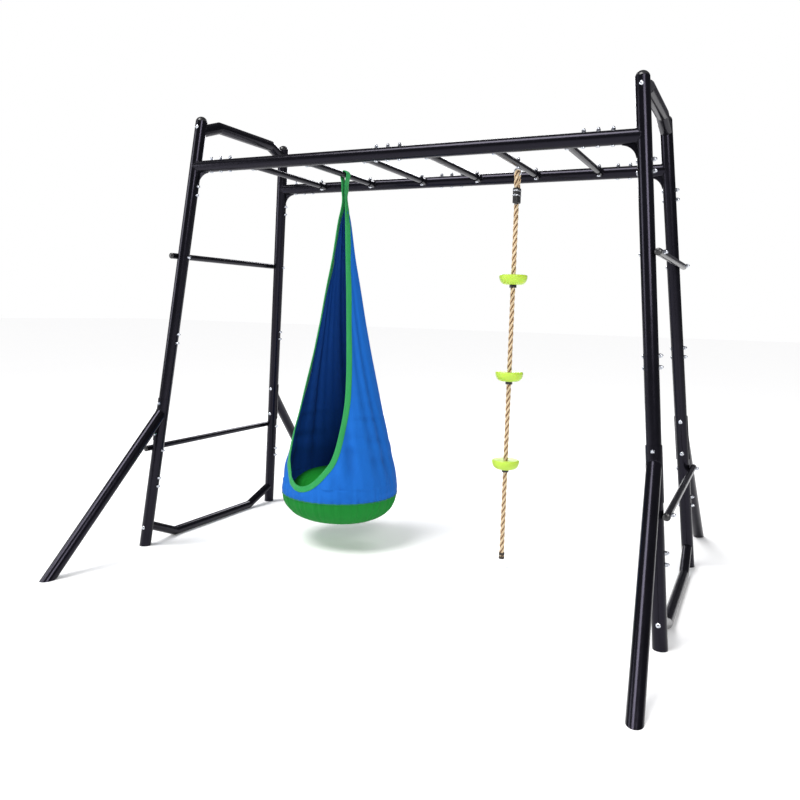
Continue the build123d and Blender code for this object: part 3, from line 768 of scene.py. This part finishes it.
def strap_path():
    """The strap's middle line over the rung, leg to leg from +X, as point and outward direction."""
    centre = Vector((POD_RUNG.x, POD_AXIS.y, POD_RUNG.z))
    radius = 0.0127 + 0.0044
    start = Vector((POD_AXIS.x + 0.0085, POD_AXIS.y, MOUTH_LOW + MOUTH[-1][0] ** 2))
    offset = start - centre
    reach = math.hypot(offset.x, offset.z)
    lean = math.atan2(offset.z, offset.x) + math.acos(radius / reach)
    stops = []
    tangent = centre + Vector((math.cos(lean), 0, math.sin(lean))) * radius
    for i in range(1, 9):
        stops.append((start.lerp(tangent, i / 9),
                      Vector((math.cos(lean * i / 9), 0, math.sin(lean * i / 9)))))
    for i in range(25):
        turn = lean + (math.pi - 2 * lean) * i / 24
        out = Vector((math.cos(turn), 0, math.sin(turn)))
        stops.append((centre + out * radius, out))
    mirrored = []
    for point, out in reversed(stops[:8]):
        mirrored.append((Vector((2 * POD_AXIS.x - point.x, point.y, point.z)), Vector((-out.x, 0, out.z))))
    return stops + mirrored


def trim_section(width):
    """The binding's rounded section, folded over the mouth's edge: distance across and off the cloth."""
    return [
        (-0.0018, -0.0008), (-0.0012, 0.0011), (0.0012, 0.0021), (width * 0.3, 0.0024), (width * 0.7, 0.0024),
        (width - 0.0012, 0.0019), (width + 0.0002, 0.0004), (width + 0.0002, -0.0024),
        (width - 0.0012, -0.0035),
        (width * 0.5, -0.0039), (0.0012, -0.0036), (-0.0012, -0.0026),
    ]


def trim_rings(settings, section):
    """Rings of points along the whole binding and strap, in order round the loop."""
    last = MOUTH[-1][0]
    count = 190
    rings = []
    for side, order in ((-1, range(count, 0, -1)), (1, range(0, count + 1))):
        for i in order:
            rings.append([trim_point(settings, last * i / count, side, a, o) for a, o in section])
    for point, out in strap_path():
        ring = []
        for across, off in section:
            ring.append(point + out * off + Vector((0, (across - settings.trim_width / 2) * 1.3, 0)))
        rings.append(ring)
    return rings


# ---- operators -----------------------------------------------------------------------------------
class MONKEYBARS_OT_stage(bpy.types.Operator):
    """Lay a pale floor, light it softly and set the camera"""

    bl_idname = "monkeybars.stage"
    bl_label = "Stage"

    def execute(self, context):
        settings = context.scene.monkeybars_stage
        material, tree, shader = new_material("Pale studio floor")
        cloud = object_noise(tree, 0.8, 2.0)
        base = blend_colours(tree, cloud, settings.floor, hex_mix(settings.floor, "FFFFFF", 0.5))
        wire(tree, shader, Base_Color=base, Roughness=0.75)
        half = 40.0
        corners = [(-half, -half, 0), (half, -half, 0), (half, half, 0), (-half, half, 0)]
        floor = make_object("studio_floor", corners, [(0, 1, 2, 3)], [material])
        self.surroundings(context)
        # kind, place, size in metres or spread in degrees, strength, tint
        lamps = [
            ("Daylight", "SUN", (-1.6, -2.4, 6.0), 28.0, 2.7, (1.0, 0.99, 0.98)),
            ("Key", "AREA", (3.4, -4.4, 3.4), 2.0, 190, (1.0, 0.99, 0.98)),
            ("Fill", "AREA", (-4.4, -2.6, 2.2), 2.2, 90, (0.97, 0.98, 1.0)),
            ("Rim", "AREA", (-1.8, 4.8, 3.2), 2.0, 110, (0.95, 0.95, 1.0)),
        ]
        for name, kind, place, size, power, tint in lamps:
            data = bpy.data.lights.new(name, kind)
            if kind == "SUN":
                data.angle = math.radians(size)
            else:
                data.shape = "SQUARE"
                data.size = size
            data.energy = power
            data.color = tint
            lamp = bpy.data.objects.new(name, data)
            lamp.location = place
            aim = Vector((0, 0, 0.9)) - Vector(place)
            lamp.rotation_euler = aim.to_track_quat("-Z", "Y").to_euler()
            context.scene.collection.objects.link(lamp)
        data = bpy.data.cameras.new("Camera")
        data.sensor_width = 36.0
        data.lens = settings.lens
        data.clip_end = 60.0
        camera = bpy.data.objects.new("Camera", data)
        yaw, pitch, roll = settings.yaw, settings.pitch, settings.roll
        ahead = Vector((-math.sin(yaw) * math.cos(pitch), math.cos(yaw) * math.cos(pitch), math.sin(pitch)))
        level = Vector((math.cos(yaw), math.sin(yaw), 0))
        upward = level.cross(ahead)
        right = level * math.cos(roll) + upward * math.sin(roll)
        top = upward * math.cos(roll) - level * math.sin(roll)
        camera.matrix_world = Matrix.Translation(settings.eye) @ Matrix((right, top,
                                                                         -ahead)).transposed().to_4x4()
        context.scene.collection.objects.link(camera)
        context.scene.camera = camera
        return {"FINISHED"}

    def surroundings(self, context):
        """White all round where it is seen, and dimmer in the light it gives, so that black stays black."""
        context.scene.view_settings.view_transform = "Standard"
        world = bpy.data.worlds.new("Studio")
        context.scene.world = world
        world.use_nodes = True
        tree = world.node_tree
        tree.nodes.clear()
        seen = add_node(tree, "ShaderNodeBackground", {"Color": (1, 1, 1, 1), "Strength": 1.0})
        light = add_node(tree, "ShaderNodeBackground", {"Color": (0.95, 0.97, 1, 1), "Strength": 0.34})
        dark = add_node(tree, "ShaderNodeBackground", {"Color": (0.9, 0.88, 1, 1), "Strength": 0.12})
        ray = add_node(tree, "ShaderNodeLightPath").outputs
        glossy = {0: ray["Is Glossy Ray"], 1: light.outputs[0], 2: dark.outputs[0]}
        given = add_node(tree, "ShaderNodeMixShader", glossy).outputs[0]
        mixed = add_node(tree, "ShaderNodeMixShader", {0: ray["Is Camera Ray"], 1: given, 2: seen.outputs[0]})
        add_node(tree, "ShaderNodeOutputWorld", {"Surface": mixed.outputs[0]})


class MONKEYBARS_OT_steelwork(bpy.types.Operator):
    """Finish the tubes, bolts, nuts and plastic fittings"""

    bl_idname = "monkeybars.steelwork"
    bl_label = "Steelwork and fittings"

    def execute(self, context):
        steel = context.scene.monkeybars_steel
        rope = context.scene.monkeybars_rope
        paint_nodes(black_enamel(steel), slot_nodes("black_enamel"))
        paint_nodes(bright_zinc(steel), slot_nodes("zinc_plate"))
        paint_nodes(
            moulded_plastic("Moulded black polypropylene", "141416", 0.22, 0.38, 0.00004),
            slot_nodes("black_plastic")
        )
        paint_nodes(
            moulded_plastic("Ribbed black sleeve", "0D0D0F", 0.42, 0.6, 0.0002), slot_nodes("black_sleeve")
        )
        paint_nodes(
            moulded_plastic("Moulded lime polyethylene", rope.disc, 0.30, 0.46, 0.00005, 0.15),
            slot_nodes("lime_plastic"),
        )
        return {"FINISHED"}


class MONKEYBARS_OT_welds(bpy.types.Operator):
    """Run a rippled weld round every socket, stub and brace"""

    bl_idname = "monkeybars.welds"
    bl_label = "Welds"

    def meet(self, start, ahead, point, axis, radius):
        """Where a line first reaches a round post."""
        offset = start - point
        flat = ahead - axis * ahead.dot(axis)
        side = offset - axis * offset.dot(axis)
        a, b, c = flat.dot(flat), 2 * flat.dot(side), side.dot(side) - radius * radius
        root = max(b * b - 4 * a * c, 0.0)
        return start + ahead * ((-b - math.sqrt(root)) / (2 * a))

    def execute(self, context):
        settings = context.scene.monkeybars_steel
        paths = []
        tube, socket, saddle = 0.025, 0.0165, 0.0282
        beam_z = POD_RUNG.z
        beam_y = (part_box("beam_rear_left")[1].y) - tube
        for place in RUNG.values():
            for end in (-1, 1):
                ring = []
                for i in range(40):
                    turn = 2 * math.pi * i / 40
                    up = socket * math.sin(turn)
                    reach = beam_y - math.sqrt(tube * tube - up * up) - 0.0006
                    ring.append(Vector((place.x + socket * math.cos(turn), end * reach, beam_z + up)))
                paths.append(ring)
        for side, side_name in ((-1, "left"), (1, "right")):
            for end, end_name in ((-1, "front"), (1, "rear")):
                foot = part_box(f"foot_post_{end_name}_{side_name}")
                low_x = max(abs(foot[0].x), abs(foot[1].x)) - tube * 1.005
                low_y = max(abs(foot[0].y), abs(foot[1].y)) - tube * 1.005
                low = Vector((side * low_x, end * low_y, 0))
                high = Vector((side * 0.945, end * beam_y, beam_z))
                axis = (low - high).normalized()
                ring = []
                for i in range(56):
                    turn = 2 * math.pi * i / 56
                    out = Vector((0, math.cos(turn), math.sin(turn))) * (tube * 0.985)
                    start = high + out + Vector((-side * 0.3, 0, 0))
                    ring.append(self.meet(start, Vector((side, 0, 0)), high, axis, tube + 0.0006))
                paths.append(ring)
                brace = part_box(f"ground_brace_{end_name}_{side_name}")
                brace_y = max(abs(brace[0].y), abs(brace[1].y)) - tube * 1.4
                toe = Vector((low.x, end * brace_y, 0))
                joint = high.lerp(low, (beam_z - 0.615) / beam_z)
                leg = (toe - joint).normalized()
                across = leg.cross(Vector((1, 0, 0))).normalized()
                beside = leg.cross(across)
                ring = []
                for i in range(64):
                    turn = 2 * math.pi * i / 64
                    out = (across * math.cos(turn) + beside * math.sin(turn)) * (tube * 0.99)
                    start = joint + out + leg * 0.4
                    ring.append(self.meet(start, -leg, joint, axis, saddle + 0.0004))
                paths.append(ring)
        beads = grow(
            path_curve("weld_beads", paths, True),
            bead_tree(),
            spacing=settings.bead_spacing,
            length=settings.bead_spacing * 1.9,
            width=settings.bead_width,
            height=settings.bead_width * 0.75,
            unevenness=0.12,
            seed=7,
            material=bpy.data.materials["Sprayed gloss black enamel"],
        )
        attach(beads, "frame")
        return {"FINISHED"}


def laid_rope(name, path, settings, materials):
    """Three twisted strands round a core in painted shade, each ridged by its yarns and darkened by painted shade
    towards the axis, along an evenly spaced path.
    """
    step = (path[1] - path[0]).length
    stops = transported(path, (1, 0, 0))
    scale = settings.diameter / 0.020
    rise, half_wide, half_thick, ridge = 0.0057 * scale, 0.0051 * scale, 0.0045 * scale, 0.00022 * scale
    sides, yarns, strands = 36, 9, 3
    lean = math.atan2(2 * math.pi * rise, settings.pitch)
    points, faces, uvs, paints, groove_shade = [], [], [], [], []
    for strand in range(strands):
        base = len(points)
        for i, (centre, tangent, side, across) in enumerate(stops):
            along = i * step
            turn = 2 * math.pi * (along / settings.pitch + strand / strands)
            out = side * math.cos(turn) + across * math.sin(turn)
            round_way = across * math.cos(turn) - side * math.sin(turn)
            wide = (round_way * math.cos(lean) - tangent * math.sin(lean)).normalized()
            for j in range(sides):
                a = 2 * math.pi * j / sides
                a += 0.7 * math.cos(a)
                yarn = ridge * abs(math.cos((yarns * a - 2 * math.pi * along / 0.05) / 2)) - ridge
                spread = wide * ((half_wide + yarn) * math.cos(a))
                offset = out * (rise + (half_thick + yarn) * math.sin(a)) + spread
                points.append(centre + offset)
                # Painted shade: how near each point lies to the rope's axis, deepest between the strands.
                groove_shade.append(1 - smoothstep(0.45, 0.98, offset.length / (rise + half_thick)))
        for quad in grid_faces(len(stops), sides, wrap_columns=True):
            faces.append(tuple(base + k for k in quad))
            for corner, k in enumerate(quad):
                column = k % sides
                if column == 0 and corner in (1, 2):
                    column = sides
                uvs.append(((k // sides) * step, column / sides * 6.28 * half_wide))
            paints.append(0)
        for row in (0, len(stops) - 1):
            faces.append(tuple(base + row * sides + j for j in range(sides)))
            uvs += [(0.0, 0.0)] * sides
            paints.append(0)
    # A thin core in painted shade fills the gap between the strands.
    base, count = len(points), 8
    core = 0.0040 * scale
    inner = stops[::8] + [stops[-1]]
    for centre, tangent, side, across in inner:
        for j in range(count):
            a = 2 * math.pi * j / count
            points.append(centre + (side * math.cos(a) + across * math.sin(a)) * core)
            groove_shade.append(1.0)
    core_faces = grid_faces(len(inner), count, wrap_columns=True)
    core_faces += [tuple(range(count)), tuple((len(inner) - 1) * count + j for j in range(count))]
    for face in core_faces:
        faces.append(tuple(base + k for k in face))
        uvs += [(0.0, 0.0)] * len(face)
        paints.append(1)
    made = make_object(name, points, faces, materials, uvs)
    made.data.polygons.foreach_set("material_index", paints)
    layer = made.data.attributes.new("groove_shade", "FLOAT", "POINT")
    layer.data.foreach_set("value", groove_shade)
    turn_outwards(made)
    return made


def turn_outwards(made):
    """Point every face outwards."""
    shape = bmesh.new()
    shape.from_mesh(made.data)
    bmesh.ops.recalc_face_normals(shape, faces=shape.faces)
    shape.to_mesh(made.data)
    shape.free()


class MONKEYBARS_OT_rope(bpy.types.Operator):
    """Lay the hanging rope and its spliced eye"""

    bl_idname = "monkeybars.rope"
    bl_label = "Climbing rope"

    def execute(self, context):
        settings = context.scene.monkeybars_rope
        materials = [rope_strand(settings), rope_core()]
        x, y = ROPE_AXIS.x, ROPE_AXIS.y
        flex = ROPE_HIGH.z - 0.010
        low = ROPE_LOW.z
        controls = [(x, y, flex), (x, y, flex - 0.30), (x, y, 0.95), (x, y, 0.50), (x, y, low)]
        route = evenly(route_points("rope_route", controls), settings.pitch / 24)
        rope = laid_rope("laid_rope", route, settings, materials)
        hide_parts("climbing_rope")
        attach(rope, "rope")
        twine = waxed_twine()
        holder = path_curve("twine_whipping", [[Vector((0, 0, 0)), Vector((0, 0, 0.01))]], False)
        whipping = grow(
            holder,
            twine_tree(),
            radius=0.0107,
            turns=6.0,
            height=0.0114,
            twine_radius=0.00115,
            bands=2,
            band_offset=(0.0, 0.0, 0.0158),
            material=twine,
        )
        end_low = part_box("rope_end")[0].z
        whipping.data.transform(Matrix.Translation((x, y, end_low + 0.0026)))
        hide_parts("rope_end")
        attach(whipping, "rope")
        tip = self.tip(x, y, end_low, materials[0])
        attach(tip, "rope")
        self.eye(settings, materials)
        return {"FINISHED"}

    def tip(self, x, y, low, material):
        """The frayed, trimmed end below the twine: a soft button of fibres."""
        rows = [(0.0015, 0.0), (0.0070, 0.0004), (0.0098, 0.0016), (0.0107, 0.0036), (0.0104, 0.0060),
                (0.0080, 0.0066)]
        points, count = [], 40
        for radius, up in rows:
            for j in range(count):
                a = 2 * math.pi * j / count
                shaggy = 1 + 0.045 * math.cos(8 * a) + 0.02 * math.cos(19 * a + 1)
                points.append((x + radius * shaggy * math.cos(a), y + radius * shaggy * math.sin(a),
                               low + up))
        faces = grid_faces(len(rows), count, wrap_columns=True)
        uvs = [((k % count) * 0.0017, (k // count) * 0.003) for quad in faces for k in quad]
        faces.append(tuple(range(count)))
        uvs += [(0.0, 0.0)] * count
        made = make_object("rope_tip", points, faces, [material], uvs)
        turn_outwards(made)
        return made

    def eye(self, settings, materials):
        low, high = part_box("rope_eye")
        x, y = ROPE_AXIS.x, ROPE_AXIS.y
        radius = settings.diameter / 2
        turn_radius = 0.0135
        centre = Vector((x, y, high.z - radius - turn_radius))
        lean = math.radians(5)
        points = []
        legs = centre.z - turn_radius * math.sin(lean) - low.z - radius * 0.2
        for i in range(12):
            drop = legs * (1 - i / 12)
            reach = turn_radius * math.cos(lean) - drop * math.tan(lean)
            points.append(Vector((x, y - reach, centre.z - turn_radius * math.sin(lean) - drop)))
        for i in range(41):
            a = math.pi + lean - (math.pi + 2 * lean) * i / 40
            points.append(centre + Vector((0, math.cos(a), math.sin(a))) * turn_radius)
        for point in list(reversed(points[:12])):
            points.append(Vector((x, 2 * y - point.y, point.z)))
        eye = laid_rope("spliced_eye", evenly(points, settings.pitch / 40), settings, materials)
        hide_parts("rope_eye")
        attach(eye, "rope_head")


class MONKEYBARS_OT_sleeve_bands(bpy.types.Operator):
    """Crimp two silver bands round the rope's sleeve"""

    bl_idname = "monkeybars.sleeve_bands"
    bl_label = "Sleeve bands"

    def execute(self, context):
        middle = (SLEEVE_LOW + SLEEVE_HIGH) / 2
        size = SLEEVE_HIGH - SLEEVE_LOW
        end_radius = size.x / 2
        straight = size.y / 2 - end_radius
        rows = [(0.0, -0.2), (0.2, 0.7), (0.8, 1.0), (2.0, 1.15), (3.2, 1.0), (4.0, 1.15), (5.2, 1.0),
                (5.8, 0.7), (6.0, -0.2)]
        count = 72
        points, faces = [], []
        for level in (SLEEVE_HIGH.z - 0.014, SLEEVE_HIGH.z - 0.032):
            base = len(points)
            for up, out in rows:
                for j in range(count):
                    a = 2 * math.pi * j / count
                    reach = end_radius + out * MM
                    shift = straight if math.sin(a) >= 0 else -straight
                    points.append(
                        (middle.x + reach * math.cos(a), middle.y + shift + reach * math.sin(a),
                         level + up * MM)
                    )
            faces += [tuple(base + k for k in quad) for quad in grid_faces(len(rows), count,
                                                                           wrap_columns=True)]
        bands = make_object("sleeve_bands", points, faces, [silver_band()])
        turn_outwards(bands)
        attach(bands, "rope_head")
        return {"FINISHED"}


class MONKEYBARS_OT_pod_skirt(bpy.types.Operator):
    """Hang the pod's skirt in folds from its gathered neck to the base seam"""

    bl_idname = "monkeybars.pod_skirt"
    bl_label = "Pod skirt"

    def heights(self):
        """Rows close together at the seam and at the mouth's lowest point, and wider apart above."""
        rows = [0.2335 + 0.0045 * i for i in range(15)]
        last = MOUTH[-1][0]
        rows += [MOUTH_LOW + (last * i / 120) ** 2 for i in range(1, 121)]
        return sorted(set(round(z, 5) for z in rows))

    def execute(self, context):
        settings = context.scene.monkeybars_pod
        rows = self.heights()
        count = 240
        points, faces, uvs, valley_shades = [], [], [], []
        for z in rows:
            start = mouth_angle(z)
            for j in range(count + 1):
                angle = start + (2 * math.pi - 2 * start) * j / count
                lift = 0.0012 * (1 - smoothstep(0.236, 0.246, z))
                points.append(skirt_point(settings, angle, z, lift))
                # Painted shade: how deep each point sits in a fold's valley, so that the cloth can be darkened
                # there.
                valley_shades.append(smoothstep(0.0, 1.5, -fold(settings, angle, z) / settings.fold_depth))
        for a, b, c, d in grid_faces(len(rows), count + 1):
            faces.append((a, b, c, d))
            for k in (a, b, c, d):
                uvs.append(((k % (count + 1)) / count * 1.30, rows[k // (count + 1)]))
        cloth = woven_cloth("Blue cotton canvas", settings.cloth, "0A3E86", 0.0022, 0.08)
        # Painted shade: the inner face takes a darker copy of the blue canvas, for the shade inside the skirt.
        shaded_inner_face = woven_cloth("Blue canvas, inner face in painted shade", settings.shaded_inner_face, "072A60", 0.0022, 0.05)
        skirt = make_object("pod_skirt", points, faces, [cloth, shaded_inner_face], uvs)
        layer = skirt.data.attributes.new("valley", "FLOAT", "POINT")
        layer.data.foreach_set("value", valley_shades)
        self.close_front(skirt)
        wall = skirt.modifiers.new("Cloth", "SOLIDIFY")
        wall.thickness = 0.0014
        wall.offset = -1.0
        wall.material_offset = 1
        wall.material_offset_rim = 0
        skirt = freeze(skirt)
        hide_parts("pod_shell")
        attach(skirt, "pod")
        return {"FINISHED"}

    def close_front(self, skirt):
        """Join the two edges that meet below the mouth."""
        shape = bmesh.new()
        shape.from_mesh(skirt.data)
        low = [v for v in shape.verts if v.co.z <= MOUTH_LOW + 1e-6]
        bmesh.ops.remove_doubles(shape, verts=low, dist=1e-5)
        bmesh.ops.recalc_face_normals(shape, faces=shape.faces)
        shape.to_mesh(skirt.data)
        shape.free()


class MONKEYBARS_OT_pod_trim(bpy.types.Operator):
    """Bind the mouth's edge with tape that runs on over the rung as the hanging strap"""

    bl_idname = "monkeybars.pod_trim"
    bl_label = "Pod binding and strap"

    def execute(self, context):
        settings = context.scene.monkeybars_pod
        section = trim_section(settings.trim_width)
        rings = trim_rings(settings, section)
        count = len(section)
        around = [0.0]
        for (a, b), (c, d) in zip(section, section[1:] + section[:1]):
            around.append(around[-1] + math.hypot(c - a, d - b))
        along = [0.0]
        for ring, after in zip(rings, rings[1:]):
            along.append(along[-1] + (after[3] - ring[3]).length)
        faces = grid_faces(len(rings), count, wrap_rows=True, wrap_columns=True)
        uvs = [(around[k % count], along[k // count]) for quad in faces for k in quad]
        tape = webbing("Green woven tape", settings.trim)
        trim = make_object("pod_binding_and_strap", [p for ring in rings for p in ring], faces, [tape], uvs)
        turn_outwards(trim)
        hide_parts("pod_binding", "pod_loop")
        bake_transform(trim)
        self.stitches(settings)
        return {"FINISHED"}

    def upper(self):
        return (POD_AXIS.x, POD_AXIS.y, LOOP_LOW.z + 0.012)

    def lower(self):
        return (POD_AXIS.x, POD_AXIS.y, LOOP_LOW.z - 0.040)

    def stitches(self, settings):
        """Two rows of stitches along the binding."""
        last = MOUTH[-1][0] - 0.004
        paths = []
        for across in (0.0035, settings.trim_width - 0.0035):
            for side in (-1, 1):
                paths.append([trim_point(settings, last * i / 260, side, across, 0.0026) for i in range(261)])
        thread = sewing_thread("Pale green thread", hex_mix(settings.trim, "E8FFE8", 0.35))
        seam = grow(
            path_curve("binding_stitches", paths, False),
            bpy.data.node_groups["Beads along a path"],
            spacing=0.0052,
            length=0.0036,
            width=0.0010,
            height=0.0008,
            unevenness=0.08,
            seed=3,
            material=thread,
        )
        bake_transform(seam)


class MONKEYBARS_OT_pod_base(bpy.types.Operator):
    """Gather the base panel into the seam and stitch it"""

    bl_idname = "monkeybars.pod_base"
    bl_label = "Pod base panel"

    def section(self):
        """Radius and height from the seam down to the middle of the base."""
        rows = [(0.2632, 0.2380), (0.2654, 0.2360), (0.2650, 0.2300)]
        start, bend, floor = (0.2650, 0.2300), (0.2560, 0.1400), BASE_LOW.z + 0.001
        for i in range(1, 41):
            t = i / 40
            a, b, c, d = (1 - t) ** 3, 3 * t * (1 - t) ** 2, 3 * t * t * (1 - t), t ** 3
            radius = a * start[0] + b * bend[0] + c * 0.160 + d * 0.0
            height = a * start[1] + b * bend[1] + c * floor + d * floor
            rows.append((radius, height))
        return rows

    def execute(self, context):
        settings = context.scene.monkeybars_pod
        rows = self.section()
        count = 264
        points, faces, uvs = [], [], []
        for radius, z in rows[:-1]:
            gathered = smoothstep(0.10, 0.25, radius)
            for j in range(count):
                a = 2 * math.pi * j / count
                pleat = math.cos(44 * a + 1.3 * math.sin(3 * a)) + 0.6 * math.cos(61 * a + 2 * math.sin(2 * a))
                sag = 0.0024 * math.sin(2 * a + 0.7) * smoothstep(0.05, 0.2, radius)
                out = radius + 0.0022 * gathered * pleat * (1 if z < 0.2375 else 0.5)
                turned = settings.turn + a
                points.append(
                    (POD_AXIS.x + out * math.sin(turned), POD_AXIS.y - out * math.cos(turned),
                     z + sag * (z < 0.22))
                )
        last = len(rows) - 1
        for a, b, c, d in grid_faces(last, count, wrap_columns=True):
            faces.append((a, b, c, d))
            for k in (a, b, c, d):
                column = k % count
                if column == 0 and k in (b, c):
                    column = count
                uvs.append((column / count * 1.60, rows[k // count][1]))
        tip = len(points)
        points.append((POD_AXIS.x, POD_AXIS.y, rows[-1][1]))
        for j in range(count):
            faces.append(((last - 1) * count + j, (last - 1) * count + (j + 1) % count, tip))
            uvs += [(j / count * 1.6, 0.0), ((j + 1) / count * 1.6, 0.0), (j / count * 1.6, 0.01)]
        cloth = woven_cloth("Green cotton canvas", settings.base, "0C5A1E", 0.0022, 0.08, 0.6)
        base = make_object("pod_base_panel", points, faces, [cloth], uvs)
        turn_outwards(base)
        wall = base.modifiers.new("Cloth", "SOLIDIFY")
        wall.thickness = 0.0014
        wall.offset = -1.0
        base = freeze(base)
        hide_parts("pod_base")
        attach(base, "pod")
        self.seam(settings)
        return {"FINISHED"}

    def seam(self, settings):
        """A corded seam between skirt and base, with a row of stitches above it."""
        rings, stitches = [], []
        count, turns = 8, 300
        for i in range(turns):
            angle = 2 * math.pi * i / turns
            centre = skirt_point(settings, angle, 0.236, 0.0012)
            out = (centre - Vector((POD_AXIS.x, POD_AXIS.y, centre.z))).normalized()
            for j in range(count):
                a = 2 * math.pi * j / count
                rings.append(centre + out * (0.0022 * math.cos(a)) + Vector((0, 0, 0.0022 * math.sin(a))))
            stitches.append(skirt_point(settings, angle, 0.2435, 0.0014))
        faces = grid_faces(turns, count, wrap_rows=True, wrap_columns=True)
        uvs = [((k % count) * 0.0017, (k // count) * 0.0056) for quad in faces for k in quad]
        tape = webbing("Dark green piping", hex_mix(settings.base, "0A4A16", 0.3))
        piping = make_object("base_piping", rings, faces, [tape], uvs)
        turn_outwards(piping)
        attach(piping, "pod")
        thread = sewing_thread("Mid blue thread", hex_mix(settings.cloth, "FFFFFF", 0.15))
        seam = grow(
            path_curve("seam_stitches", [stitches], True),
            bpy.data.node_groups["Beads along a path"],
            spacing=0.0060,
            length=0.0042,
            width=0.0010,
            height=0.0010,
            unevenness=0.08,
            seed=5,
            material=thread,
        )
        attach(seam, "pod")


class MONKEYBARS_OT_pod_cushion(bpy.types.Operator):
    """Fill the cushion's cover and let it swell"""

    bl_idname = "monkeybars.pod_cushion"
    bl_label = "Pod cushion"

    def blank(self, settings):
        """A squat round pad, a little smaller than the space it fills."""
        top, low = CUSHION_HIGH.z - 0.014, CUSHION_LOW.z + 0.012
        rim = (CUSHION_HIGH.x - CUSHION_LOW.x) / 2 - 0.014
        rows = [
            (0.0, top), (rim * 0.30, top - 0.001), (rim * 0.58, top - 0.007), (rim * 0.80, top - 0.022),
            (rim * 0.93, top - 0.045), (rim * 0.99, top - 0.075), (rim * 0.985, top - 0.105),
            (rim * 0.94, low + 0.060), (rim * 0.80, low + 0.030), (rim * 0.55, low + 0.010),
            (rim * 0.30, low + 0.002),
            (0.0, low),
        ]
        count = 64
        points = [(POD_AXIS.x, POD_AXIS.y, top)]
        for radius, z in rows[1:-1]:
            for j in range(count):
                a = 2 * math.pi * j / count
                points.append((POD_AXIS.x + radius * math.cos(a), POD_AXIS.y + radius * math.sin(a), z))
        points.append((POD_AXIS.x, POD_AXIS.y, low))
        rings = len(rows) - 2
        faces = [(0, 1 + j, 1 + (j + 1) % count) for j in range(count)]
        faces += [tuple(1 + k for k in quad) for quad in grid_faces(rings, count, wrap_columns=True)]
        base = 1 + (rings - 1) * count
        faces += [(base + (j + 1) % count, base + j, len(points) - 1) for j in range(count)]
        cover = woven_cloth("Green cushion cover", settings.cushion, "06521A", 0.0020, 0.08, 0.15)
        pad = make_object("pod_seat_cushion", points, faces, [cover])
        turn_outwards(pad)
        return pad

    def execute(self, context):
        pad = self.blank(context.scene.monkeybars_pod)
        remesh = pad.modifiers.new("Even", "REMESH")
        remesh.mode = "VOXEL"
        remesh.voxel_size = 0.006
        remesh.use_smooth_shade = True
        pad = freeze(pad)
        pad = self.swell(context, pad)
        finer = pad.modifiers.new("Finer", "SUBSURF")
        finer.levels = finer.render_levels = 1
        pad = freeze(pad)
        self.unwrap(pad)
        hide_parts("pod_cushion")
        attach(pad, "pod")
        return {"FINISHED"}

    def swell(self, context, pad):
        """Blow the cover up for a moment, and keep every point near where it began."""
        rest = [v.co.copy() for v in pad.data.vertices]
        cloth = pad.modifiers.new("Swell", "CLOTH")
        cloth.settings.use_pressure = True
        cloth.settings.uniform_pressure_force = 4.0
        cloth.settings.quality = 4
        cloth.settings.effector_weights.gravity = 0.0
        cloth.point_cache.frame_start = 1
        cloth.point_cache.frame_end = 20
        for number in range(1, 21):
            context.scene.frame_set(number)
        pad = freeze(pad)
        context.scene.frame_set(1)
        for vertex, start in zip(pad.data.vertices, rest):
            move = vertex.co - start
            if move.length > 0.010:
                vertex.co = start + move.normalized() * 0.010
        return pad

    def unwrap(self, pad):
        """Lay the weave flat over the top and down the sides."""
        layer = pad.data.uv_layers.new(name="UVMap")
        points = [v.co for v in pad.data.vertices]
        flat = []
        for loop in pad.data.loops:
            point = points[loop.vertex_index]
            flat += [point.x, point.y + 0.7 * point.z]
        layer.data.foreach_set("uv", flat)


class MONKEYBARS_OT_cloth_sizes(bpy.types.Operator):
    """Does nothing; no cut sizes of the pod's panels are given here"""

    bl_idname = "monkeybars.cloth_sizes"
    bl_label = "Cloth sizes"

    def execute(self, context):
        return {"FINISHED"}


class MONKEYBARS_PT_panel(bpy.types.Panel):
    bl_idname = "MONKEYBARS_PT_panel"
    bl_label = "Monkey Bars"
    bl_space_type = "VIEW_3D"
    bl_region_type = "UI"
    bl_category = "Monkey Bars"

    def draw(self, context):
        for step in STEPS:
            self.layout.operator(step.bl_idname)
        for group in SETTINGS:
            block = self.layout.box()
            for key in SETTINGS[group].__annotations__:
                block.prop(getattr(context.scene, group), key)


STEPS = (
    MONKEYBARS_OT_stage,
    MONKEYBARS_OT_steelwork,
    MONKEYBARS_OT_welds,
    MONKEYBARS_OT_rope,
    MONKEYBARS_OT_sleeve_bands,
    MONKEYBARS_OT_pod_skirt,
    MONKEYBARS_OT_pod_trim,
    MONKEYBARS_OT_pod_base,
    MONKEYBARS_OT_pod_cushion,
    MONKEYBARS_OT_cloth_sizes,
)
SETTINGS = {
    "monkeybars_steel": SteelSettings,
    "monkeybars_rope": RopeSettings,
    "monkeybars_pod": PodSettings,
    "monkeybars_stage": StageSettings,
}
CLASSES = (*SETTINGS.values(), *STEPS, MONKEYBARS_PT_panel)


def register():
    for item in CLASSES:
        bpy.utils.register_class(item)
    for key, group in SETTINGS.items():
        setattr(bpy.types.Scene, key, bpy.props.PointerProperty(type=group))


def unregister():
    for key in SETTINGS:
        delattr(bpy.types.Scene, key)
    for item in reversed(CLASSES):
        bpy.utils.unregister_class(item)


def main():
    register()
    for step in STEPS:
        area, action = step.bl_idname.split(".")
        getattr(getattr(bpy.ops, area), action)()


if __name__ == "__main__":
    main()
